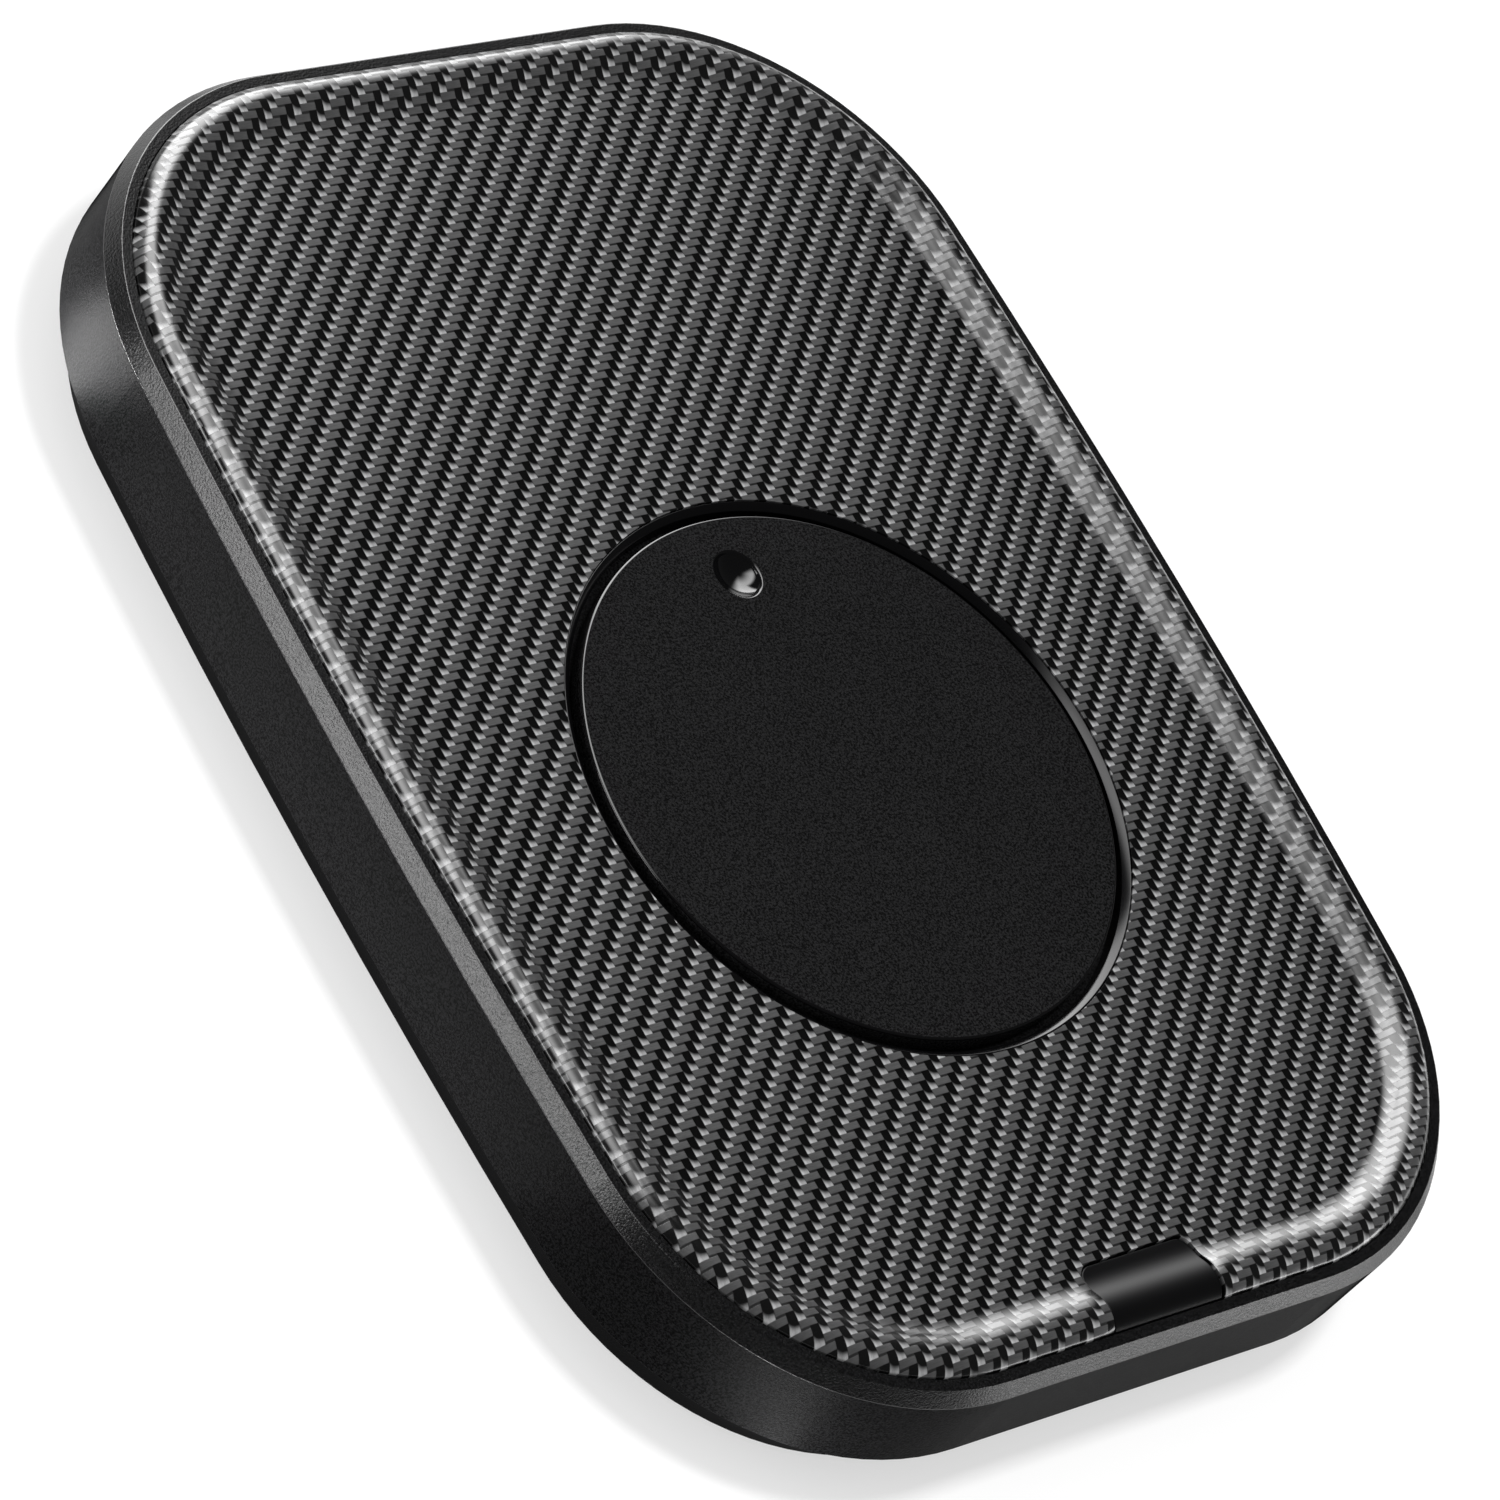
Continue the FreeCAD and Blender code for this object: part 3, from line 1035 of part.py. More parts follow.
def motor_lead():
    """The wires from the motor's terminal block to the main board."""
    out = Vector(*polar(1.0, TERMINAL_BEARING), 0)
    across = Vector(*polar(1.0, TERMINAL_BEARING - 90), 0)
    face = Vector(*MOTOR_AT, MOTOR_MIDDLE_Z) + out * (MOTOR_RADIUS + TERMINAL_REACH)
    mouth = Vector(MAIN_HEADER_OFFSET, MAIN_HEADER_Y, MAIN_HEADER_Z)
    wires = []
    for offset in wire_offsets(MOTOR_WIRES):
        start = face + across * offset
        end = mouth + Vector(offset, 0, 0)
        wires.append(wire_solid([start, start + out * LEAD_STRAIGHT,
                                 end - Vector(0, LEAD_STRAIGHT, 0), end], WIRE_DIAMETER))
    return grouped(wires)


def key_lead():
    """The wires from the key's board, along their lane on the floor, to the main board."""
    lane_z = FLOOR_Z + WIRE_DIAMETER / 2 + WIRE_REST
    wires = []
    for offset in wire_offsets(KEY_WIRES):
        start = Vector(-KEY_BOARD_HEADER_OFFSET + offset, KEY_HEADER_Y, KEY_HEADER_Z)
        end = Vector(-MAIN_HEADER_OFFSET + offset, MAIN_HEADER_Y, MAIN_HEADER_Z)
        points = [start, start + Vector(0, LEAD_STRAIGHT, 0),
                  Vector(offset - LEAD_LANE, -LEAD_LANE_SPAN / 2, lane_z),
                  Vector(offset - LEAD_LANE, LEAD_LANE_SPAN / 2, lane_z),
                  end - Vector(0, LEAD_STRAIGHT, 0), end]
        wires.append(wire_solid(points, WIRE_DIAMETER))
    return grouped(wires)


# ================================================================== every node and its maker
PARTS = {
    "upper_housing": upper_housing,
    "bottom_cover": bottom_cover,
    "tray_panel": tray_panel,
    "panel_tape": panel_tape,
    "disc_bezel": disc_bezel,
    "turntable_disc": turntable_disc,
    "turntable_spindle": turntable_spindle,
    "spindle_bush": spindle_bush,
    "thrust_washer": thrust_washer,
    "turntable_gear": turntable_gear,
    "gear_washer": gear_washer,
    "gear_screw": gear_screw,
    "idler_gear": idler_gear,
    "idler_pin": idler_pin,
    "idler_washer": idler_washer,
    "idler_clip": idler_clip,
    "motor_can": motor_can,
    "motor_flange": motor_flange,
    "motor_shaft": motor_shaft,
    "motor_pinion": motor_pinion,
    "motor_terminal_block": motor_terminal_block,
    "motor_screws": lambda: tapping_screws(MOTOR_EARS, MOTOR_FLANGE_UNDER_Z),
    "motor_lead": motor_lead,
    "main_board": main_board,
    "board_screws": lambda: tapping_screws(MAIN_BOARD_SCREWS, MAIN_BOARD_UNDER_Z),
    "controller_chip": lambda: under_board(-PART_ROW_STEP / 2, PART_ROW_Y, CONTROLLER_SIZE,
                                           CONTROLLER_SIZE, CONTROLLER_HEIGHT),
    "motor_driver_chip": lambda: under_board(PART_ROW_STEP / 2, PART_ROW_Y, DRIVER_LENGTH,
                                             DRIVER_WIDTH, DRIVER_HEIGHT),
    "timing_crystal": lambda: under_board(-PART_ROW_STEP * 1.4, PART_ROW_Y, CRYSTAL_WIDTH,
                                          CRYSTAL_LENGTH, CRYSTAL_HEIGHT),
    "chip_capacitors": chip_capacitors,
    "motor_header": lambda: header(MAIN_HEADER_OFFSET, MAIN_HEADER_Y, -1, MOTOR_WIRES,
                                   MAIN_BOARD_UNDER_Z),
    "key_header": lambda: header(-MAIN_HEADER_OFFSET, MAIN_HEADER_Y, -1, KEY_WIRES,
                                 MAIN_BOARD_UNDER_Z),
    "usb_shell": usb_shell,
    "usb_tongue": usb_tongue,
    "power_key": power_key,
    "key_plunger": key_plunger,
    "key_switch": key_switch,
    "key_board": key_board,
    "key_board_screws": lambda: tapping_screws(KEY_BOARD_SCREWS, KEY_BOARD_UNDER_Z),
    "key_board_header": lambda: header(-KEY_BOARD_HEADER_OFFSET, KEY_HEADER_Y, 1, KEY_WIRES,
                                       KEY_BOARD_UNDER_Z),
    "key_lead": key_lead,
    "ballast_left": lambda: ballast_plate(-1),
    "ballast_right": lambda: ballast_plate(1),
    "cover_screws": lambda: tapping_screws(
        COVER_SCREWS, COVER_UNDER_Z + COVER_HEAD_SINK + SCREW_HEAD_HEIGHT),
}


def main():
    """Write every piece to its own STEP file."""
    os.makedirs("parts", exist_ok=True)
    makers = dict(PARTS)
    for name, sides in FEET.items():
        makers[name] = lambda sides=sides: rubber_foot(sides)
    for name, maker in makers.items():
        shape = maker()
        if not shape.isValid() or not shape.Solids:
            raise ValueError(f"{name} did not come out as a valid solid")
        shape.exportStep(f"parts/{name}.step")
        print(f"{name}: {len(shape.Solids)} solid(s), {shape.Volume:.1f} mm3")


main()
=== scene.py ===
"""Looks of a desk tray that keeps a computer mouse moving.

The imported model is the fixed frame. The outer pieces are rebuilt with fine, smooth surfaces, and
every other node keeps its mesh and gets its finish. Lengths are metres, +Z is up and +Y the back.
"""

import logging
import math
from dataclasses import dataclass, field
from enum import Enum
from typing import Iterable, Sequence

import bmesh
import bpy
from mathutils import Matrix, Vector


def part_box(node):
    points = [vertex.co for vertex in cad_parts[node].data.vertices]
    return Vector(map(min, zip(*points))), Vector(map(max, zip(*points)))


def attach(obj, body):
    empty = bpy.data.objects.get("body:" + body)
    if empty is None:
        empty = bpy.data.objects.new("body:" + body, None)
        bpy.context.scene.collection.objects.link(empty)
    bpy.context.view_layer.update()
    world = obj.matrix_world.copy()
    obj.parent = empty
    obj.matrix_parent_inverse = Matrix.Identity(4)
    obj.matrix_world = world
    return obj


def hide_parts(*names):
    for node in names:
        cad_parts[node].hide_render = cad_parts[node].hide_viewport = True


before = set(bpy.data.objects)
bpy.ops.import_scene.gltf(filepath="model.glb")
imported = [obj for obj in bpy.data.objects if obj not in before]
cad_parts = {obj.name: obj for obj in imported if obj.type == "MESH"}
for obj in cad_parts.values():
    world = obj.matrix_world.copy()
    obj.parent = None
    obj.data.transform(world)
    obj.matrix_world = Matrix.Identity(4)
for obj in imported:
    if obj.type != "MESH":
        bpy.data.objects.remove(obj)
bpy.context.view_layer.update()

MM = 0.001
WELD = 1e-7
STEPS = 192
FINE_STEPS = 256
SHARP_ANGLE = 40.0
CARD_HEIGHT = 0.4 * MM
LOG = logging.getLogger("mouse_tray")

Colour = tuple[float, float, float]
PlanPoint = tuple[float, float]
SectionPoint = tuple[float, float]
Place = tuple[float, float, float]
Stops = Sequence[tuple[float, float]]
Socket = bpy.types.NodeSocket
Feed = Socket | float

# The panel's floor, the disc and the ring end at one height, and the disc stands off the middle.
RIM = 14.4 * MM
DISC_CENTRE: PlanPoint = (0.0, -10.0 * MM)


# ---------------------------------------------------------------------------- node graphs
class Graph:
    """A short way to write a node tree: nodes are made, set and linked in one call."""

    def __init__(self, tree: bpy.types.NodeTree) -> None:
        """Start on an empty tree.

        Args:
            tree: The tree that the nodes go into.
        """
        self.tree = tree
        tree.nodes.clear()

    def add(self, kind: str, settings: dict[str, object] | None = None,
            **inputs: object) -> bpy.types.Node:
        """Make a node, set its properties, and set or link its inputs.

        Args:
            kind: The node's type name.
            settings: Properties of the node itself.
            **inputs: Socket values by name, with _ for a space, or i0, i1 for sockets by
                number. A socket as a value is linked.

        Returns:
            The new node.
        """
        node = self.tree.nodes.new(kind)
        for name, value in (settings or {}).items():
            setattr(node, name, value)
        for name, value in inputs.items():
            numbered = name[0] == "i" and name[1:].isdigit()
            socket = node.inputs[int(name[1:]) if numbered else name.replace("_", " ")]
            if isinstance(value, Socket):
                self.tree.links.new(value, socket)
            else:
                socket.default_value = value
        return node

    def math(self, operation: str, *values: Feed, clamp: bool = False) -> Socket:
        """One step of arithmetic on sockets or numbers.

        Args:
            operation: The Math node's operation.
            *values: Its operands.
            clamp: True to keep the result from 0 to 1.

        Returns:
            The result's socket.
        """
        inputs = {f"i{index}": value for index, value in enumerate(values)}
        settings = {"operation": operation, "use_clamp": clamp}
        return self.add("ShaderNodeMath", settings, **inputs).outputs[0]

    def ramp(self, value: Feed, stops: Stops) -> Socket:
        """A grey that follows a value smoothly through the given stops.

        Args:
            value: The socket that is followed.
            stops: Pairs of position and grey level.

        Returns:
            The grey's socket.
        """
        node = self.add("ShaderNodeValToRGB", None, Fac=value)
        node.color_ramp.interpolation = "EASE"
        elements = node.color_ramp.elements
        while len(elements) < len(stops):
            elements.new(0.5)
        for element, (position, level) in zip(elements, stops):
            element.position = position
            element.color = (level, level, level, 1.0)
        return node.outputs["Color"]

    def mix(self, factor: Feed, first: Feed, second: Feed) -> Socket:
        """A number between two others.

        Args:
            factor: 0 for the first, 1 for the second.
            first: A socket or number.
            second: A socket or number.

        Returns:
            The mixed number's socket.
        """
        node = self.add("ShaderNodeMix", {"data_type": "FLOAT"}, i0=factor, i2=first, i3=second)
        return node.outputs[0]

    def tint(self, level: Socket, colour: Colour) -> Socket:
        """A colour times a grey level.

        Args:
            level: A socket with the level.
            colour: The colour at level 1.

        Returns:
            The colour's socket.
        """
        node = self.add("ShaderNodeVectorMath", {"operation": "SCALE"}, i0=colour)
        self.tree.links.new(level, node.inputs["Scale"])
        return node.outputs[0]

    def place(self, scale: float) -> Socket:
        """Object coordinates, counted in lengths of 1 / scale metres.

        Args:
            scale: How many pattern lengths there are in a metre.

        Returns:
            The coordinate's socket.
        """
        source = self.add("ShaderNodeTexCoord").outputs["Object"]
        node = self.add("ShaderNodeVectorMath", {"operation": "SCALE"}, i0=source, Scale=scale)
        return node.outputs[0]

    def noise(self, size: float, detail: float = 2.0, roughness: float = 0.5,
              stretch: Colour | None = None) -> Socket:
        """Soft noise on the piece.

        Args:
            size: The size of its spots in metres.
            detail: How many finer layers it has.
            roughness: How strong those are.
            stretch: Factors on X, Y and Z, for streaks.

        Returns:
            The noise's socket, about 0.5 on average.
        """
        where = self.place(1.0 / size)
        if stretch is not None:
            where = self.add("ShaderNodeVectorMath", {"operation": "MULTIPLY"},
                             i0=where, i1=stretch).outputs[0]
        return self.add("ShaderNodeTexNoise", None, Vector=where, Scale=1.0, Detail=detail,
                        Roughness=roughness).outputs["Fac"]

    def bump(self, height: Socket, depth: float) -> Socket:
        """A bump of a stated depth.

        Args:
            height: The height from 0 to 1.
            depth: The depth in metres.

        Returns:
            The normal's socket.
        """
        return self.add("ShaderNodeBump", None, Height=height, Distance=depth,
                        Strength=1.0).outputs["Normal"]

    def rays(self) -> tuple[Socket, Socket]:
        """What kind of ray arrives.

        Returns:
            A socket that is 1 on the camera's own and on transmitted rays, and one that is 1 on
            mirrored rays.
        """
        path = self.add("ShaderNodeLightPath").outputs
        direct = self.math("MAXIMUM", path["Is Camera Ray"], path["Is Transmission Ray"])
        return direct, path["Is Glossy Ray"]

    def surface(self, **inputs: object) -> None:
        """End the tree in a Principled shader.

        Args:
            **inputs: The shader's inputs, as for add.
        """
        shader = self.add("ShaderNodeBsdfPrincipled", None, **inputs)
        output = self.add("ShaderNodeOutputMaterial")
        self.tree.links.new(shader.outputs["BSDF"], output.inputs["Surface"])


def new_material(name: str) -> tuple[bpy.types.Material, Graph]:
    """A material with an empty node tree.

    Args:
        name: The material's name.

    Returns:
        The material and its graph.
    """
    material = bpy.data.materials.new(name)
    material.use_nodes = True
    return material, Graph(material.node_tree)


# ---------------------------------------------------------------------------- finishes
@dataclass(frozen=True)
class TwillCoat:
    """Two-by-two twill weave under a clear coat, thin on the floor and thick on the bead.

    A row of weft passes over two columns. The base colour holds painted sheen and painted shade:
    each warp thread that crosses two rows is painted bright at its front end and across its crest,
    and falls off to black, a painted shade, where it dips, later along its left edge. The weft is
    painted duller where it dips, and dark in the gap between two rows.
    """

    name: str = "twill_coat"
    column: float = 0.7697 * MM
    row: float = 0.7477 * MM
    start_x: float = -28.41 * MM
    start_y: float = 36.72 * MM
    gap: float = 0.26
    weft_level: float = 0.075
    # painted shade in the gap between two rows
    weft_metal: float = 0.35
    gap_shade_level: float = 0.016
    # the level of the warp's painted sheen
    warp_sheen_level: float = 0.36
    warp_dark: float = 0.003
    relief: float = 0.022 * MM
    coat_relief: float = 0.0035 * MM
    floor_height: float = RIM
    foot_rise: float = 0.06 * MM
    floor_coat: float = 0.10
    bead_coat: float = 0.85
    repeat: float = 4.0
    fibre_size: float = 0.26 * MM
    fibre_stretch: Colour = (0.25, 4.0, 1.0)
    thread_size: float = 0.22 * MM
    thread_stretch: Colour = (4.5, 0.30, 1.0)
    fibre_detail: float = 3.0
    fibre_roughness: float = 0.65
    fibre_contrast: float = 0.4
    thread_contrast: float = 0.5
    # where the warp's painted sheen falls off to painted shade, along its run and later along its
    # left edge
    sheen_fall_start: float = 0.12
    sheen_fall_reach: float = 0.74
    sheen_fall_lag: float = 0.70
    sheen_lag_rate: float = -3.33
    tow_size: float = 2.2 * MM
    tow_contrast: float = 0.10
    tone: Colour = (1.0, 1.0, 1.01)
    gap_fade: tuple[float, float] = (0.06, 0.03)
    gap_return: Stops = ((0.97, 0.0), (1.0, 0.35))
    # the weft's painted sheen along its run, dulled to painted shade where it dips
    weft_sheen: Stops = ((0.0, 0.45), (0.05, 0.90), (0.5, 0.97), (0.9, 1.1), (0.97, 1.0),
                         (1.0, 0.6))
    # the warp's painted sheen at its front end, and across its crest
    warp_front_sheen: Stops = ((0.0, 0.3), (0.05, 1.0), (1.0, 1.0))
    warp_crest_sheen: Stops = ((0.0, 0.25), (0.07, 0.95), (0.16, 1.0), (0.30, 0.84), (0.50, 0.70),
                         (0.72, 0.75), (0.92, 0.72), (1.0, 0.25))
    roughness: float = 0.33
    coat_roughness: float = 0.15
    coat_ior: float = 1.5

    def build(self) -> bpy.types.Material:
        """Make the material.

        Returns:
            The material.
        """
        material, graph = new_material(self.name)
        source = graph.add("ShaderNodeTexCoord").outputs["Object"]
        parts = graph.add("ShaderNodeSeparateXYZ", None, Vector=source)
        x, y = parts.outputs["X"], parts.outputs["Y"]
        across = graph.math("DIVIDE", graph.math("SUBTRACT", x, self.start_x), self.column)
        along = graph.math("DIVIDE", graph.math("SUBTRACT", y, self.start_y), self.row)
        row_number = graph.math("FLOOR", along)
        row_part = graph.math("FRACT", along)
        column_part = graph.math("FRACT", across)
        shifted = graph.math("SUBTRACT", across, row_number)
        cycle = graph.math("FLOORED_MODULO", shifted, self.repeat)
        is_warp = graph.math("GREATER_THAN", cycle, 0.5 * self.repeat)
        before, after = self.gap_fade
        in_gap = graph.ramp(row_part, [(0.0, 1.0), (self.gap - before, 1.0),
                                       (self.gap + after, 0.0), *self.gap_return])
        fibres = graph.noise(self.fibre_size, self.fibre_detail, self.fibre_roughness,
                             self.fibre_stretch)
        threads = graph.noise(self.thread_size, self.fibre_detail, self.fibre_roughness,
                              self.thread_stretch)

        # the weft, with a painted sheen that dulls where it dips, and painted shade in the gap
        # between two rows
        weft_run = graph.math("MULTIPLY", cycle, 0.5, clamp=True)
        painted_weft_sheen = graph.ramp(weft_run, self.weft_sheen)
        weft = graph.math("MULTIPLY", painted_weft_sheen,
                          self.spread(graph, fibres, self.weft_level, self.fibre_contrast))
        over_warp = graph.math("GREATER_THAN", cycle, 1.0)
        gap = graph.mix(over_warp, self.gap_shade_level, self.warp_dark)
        weft = graph.mix(in_gap, weft, gap)

        # the warp, with a painted sheen at its front end and across its crest, and painted shade
        # where it dips
        upper = graph.math("LESS_THAN", cycle, 0.75 * self.repeat)
        warp_run = graph.math("ADD", upper, row_part)
        lag = graph.math("EXPONENT", graph.math("MULTIPLY", column_part, self.sheen_lag_rate))
        reach = graph.math("MULTIPLY_ADD", lag, self.sheen_fall_lag, self.sheen_fall_reach)
        fall = graph.add("ShaderNodeMapRange", {"interpolation_type": "SMOOTHSTEP"},
                         i0=warp_run, i1=self.sheen_fall_start, i2=reach, i3=1.0, i4=0.0).outputs[0]
        front = graph.ramp(warp_run, self.warp_front_sheen)
        crest = graph.ramp(column_part, self.warp_crest_sheen)
        shine = self.spread(graph, threads, self.warp_sheen_level, self.thread_contrast)
        lit = graph.math("MULTIPLY", graph.math("MULTIPLY", fall, front), crest)
        warp = graph.mix(lit, self.warp_dark, shine)

        # both, with the change from tow to tow
        level = graph.mix(is_warp, weft, warp)
        tows = graph.noise(self.tow_size, detail=1.0)
        level = graph.math("MULTIPLY", level, self.spread(graph, tows, 1.0, self.tow_contrast))
        metal = graph.math("MULTIPLY", graph.math("SUBTRACT", 1.0, is_warp),
                           graph.math("SUBTRACT", 1.0, in_gap))
        metal = graph.math("MULTIPLY", metal, self.weft_metal)

        # the relief, and the coat that follows it
        weft_height = graph.math("SUBTRACT", self.crown(graph, weft_run), in_gap, clamp=True)
        warp_height = graph.math("MULTIPLY", self.crown(graph, column_part),
                                 self.crown(graph, graph.math("MULTIPLY", warp_run, 0.5)))
        height = graph.mix(is_warp, weft_height, warp_height)
        rise = graph.math("SUBTRACT", parts.outputs["Z"], self.floor_height)
        on_bead = graph.math("DIVIDE", rise, self.foot_rise, clamp=True)
        coat = graph.mix(on_bead, self.floor_coat, self.bead_coat)
        graph.surface(Base_Color=graph.tint(level, self.tone), Metallic=metal,
                      Roughness=self.roughness, Specular_IOR_Level=0.0,
                      Normal=graph.bump(height, self.relief), Coat_Weight=coat,
                      Coat_Roughness=self.coat_roughness, Coat_IOR=self.coat_ior,
                      Coat_Normal=graph.bump(height, self.coat_relief))
        return material

    @staticmethod
    def spread(graph: Graph, factor: Feed, level: float, contrast: float) -> Socket:
        """A level that a noise lowers and raises by the same share.

        Args:
            graph: The graph that it goes into.
            factor: The noise.
            level: The level in the middle.
            contrast: The share.

        Returns:
            The level's socket.
        """
        return graph.mix(factor, (1.0 - contrast) * level, (1.0 + contrast) * level)

    @staticmethod
    def crown(graph: Graph, part: Feed) -> Socket:
        """A steep-sided hump over a strip of the weave.

        Args:
            graph: The graph that it goes into.
            part: The place across the strip, from 0 to 1.

        Returns:
            The hump's socket.
        """
        sine = graph.math("SINE", graph.math("MULTIPLY", part, math.pi))
        return graph.math("POWER", graph.math("MAXIMUM", sine, 0.0), 0.5)


@dataclass(frozen=True)
class MouldedPlastic:
    """Moulded plastic: a fine even grain, with slight cloudiness in its gloss."""

    name: str
    colour: Colour
    roughness: float = 0.45
    gloss_change: float = 0.06
    grain_size: float = 0.12 * MM
    grain_depth: float = 0.004 * MM
    mottle: float = 0.08
    specular: float = 0.5
    speck: float = 0.0
    grazing_share: float = 1.0
    grazing_start: float = 0.80
    grazing_end: float = 0.95
    cloud_size: float = 9.0 * MM
    grain_roughness: float = 0.6
    speck_ends: tuple[float, float] = (0.36, 0.64)

    def shaded_specular(self, graph: Graph) -> Feed:
        """The specular level, which falls at grazing angles where the grain shades itself.

        Args:
            graph: The graph that it goes into.

        Returns:
            The level, or its socket where it falls.
        """
        if self.grazing_share == 1.0:
            return self.specular
        slant = graph.add("ShaderNodeLayerWeight", None, Blend=0.5).outputs["Facing"]
        return graph.ramp(slant, [(self.grazing_start, self.specular),
                                  (self.grazing_end, self.specular * self.grazing_share)])

    def build(self) -> bpy.types.Material:
        """Make the material.

        Returns:
            The material.
        """
        material, graph = new_material(self.name)
        grain = graph.noise(self.grain_size, roughness=self.grain_roughness)
        cloud = graph.noise(self.cloud_size)
        level = graph.mix(cloud, 1.0 - self.mottle, 1.0 + self.mottle)
        low, high = self.speck_ends
        spots = graph.ramp(grain, [(low, 1.0 - self.speck), (high, 1.0 + self.speck)])
        level = graph.math("MULTIPLY", level, spots)
        gloss = graph.mix(cloud, self.roughness - self.gloss_change,
                          self.roughness + self.gloss_change)
        graph.surface(Base_Color=graph.tint(level, self.colour), Roughness=gloss,
                      Specular_IOR_Level=self.shaded_specular(graph),
                      Normal=graph.bump(grain, self.grain_depth))
        return material


@dataclass(frozen=True)
class TurnedMetal:
    """Metal with the fine rings or streaks that its tool left."""

    name: str
    colour: Colour
    roughness: float = 0.32
    streak: Colour = (0.3, 0.3, 6.0)
    depth: float = 0.002 * MM
    line_size: float = 0.25 * MM
    stain_size: float = 4.0 * MM
    line_roughness: float = 0.7
    stain_detail: float = 3.0
    stain_roughness: float = 0.6
    gloss_ends: tuple[float, float] = (-0.08, 0.10)
    stain_ends: tuple[float, float] = (0.88, 1.06)

    def build(self) -> bpy.types.Material:
        """Make the material.

        Returns:
            The material.
        """
        material, graph = new_material(self.name)
        lines = graph.noise(self.line_size, roughness=self.line_roughness, stretch=self.streak)
        stain = graph.noise(self.stain_size, self.stain_detail, self.stain_roughness)
        gloss = graph.mix(lines, *(self.roughness + change for change in self.gloss_ends))
        level = graph.mix(stain, *self.stain_ends)
        graph.surface(Base_Color=graph.tint(level, self.colour), Metallic=1.0,
                      Roughness=gloss, Normal=graph.bump(lines, self.depth))
        return material


@dataclass(frozen=True)
class CircuitBoard:
    """Solder mask with faint tracks beneath it."""

    name: str = "circuit_board_mask"
    mask: Colour = (0.012, 0.085, 0.035)
    track: Colour = (0.03, 0.16, 0.07)
    pitch: float = 1.1 * MM
    bend_size: float = 5.0 * MM
    bend_reach: float = 6.0
    track_depth: float = 0.02 * MM
    track_stops: Stops = ((0.0, 0.0), (0.30, 0.0), (0.38, 1.0), (0.62, 1.0), (0.70, 0.0))
    roughness: float = 0.28

    def build(self) -> bpy.types.Material:
        """Make the material.

        Returns:
            The material.
        """
        material, graph = new_material(self.name)
        bend = graph.noise(self.bend_size, detail=0.0)
        source = graph.place(1.0 / self.pitch)
        parts = graph.add("ShaderNodeSeparateXYZ", None, Vector=source)
        line = graph.math("FRACT", graph.math("ADD", parts.outputs["X"],
                                              graph.math("MULTIPLY", bend, self.bend_reach)))
        on_track = graph.ramp(line, self.track_stops)
        colour = graph.add("ShaderNodeMix", {"data_type": "RGBA"}, i0=on_track,
                           i6=(*self.mask, 1.0), i7=(*self.track, 1.0)).outputs[2]
        graph.surface(Base_Color=colour, Roughness=self.roughness,
                      Normal=graph.bump(on_track, self.track_depth))
        return material


class FinishName(Enum):
    """The finishes that the pieces choose from."""

    TWILL = "twill"
    RIM = "rim"
    LAND = "land"
    SIDE = "side"
    BASE = "base"
    BEZEL = "bezel"
    DISC = "disc"
    DISC_EDGE = "disc_edge"
    KEY = "key"
    RUBBER = "rubber"
    TAPE = "tape"
    GEAR = "gear"
    SLIPPERY = "slippery"
    STEEL = "steel"
    PLATED = "plated"
    BRONZE = "bronze"
    BRASS = "brass"
    BOARD = "board"
    RESIN = "resin"
    CERAMIC = "ceramic"
    IVORY = "ivory"
    RED = "red"
    WIRE = "wire"


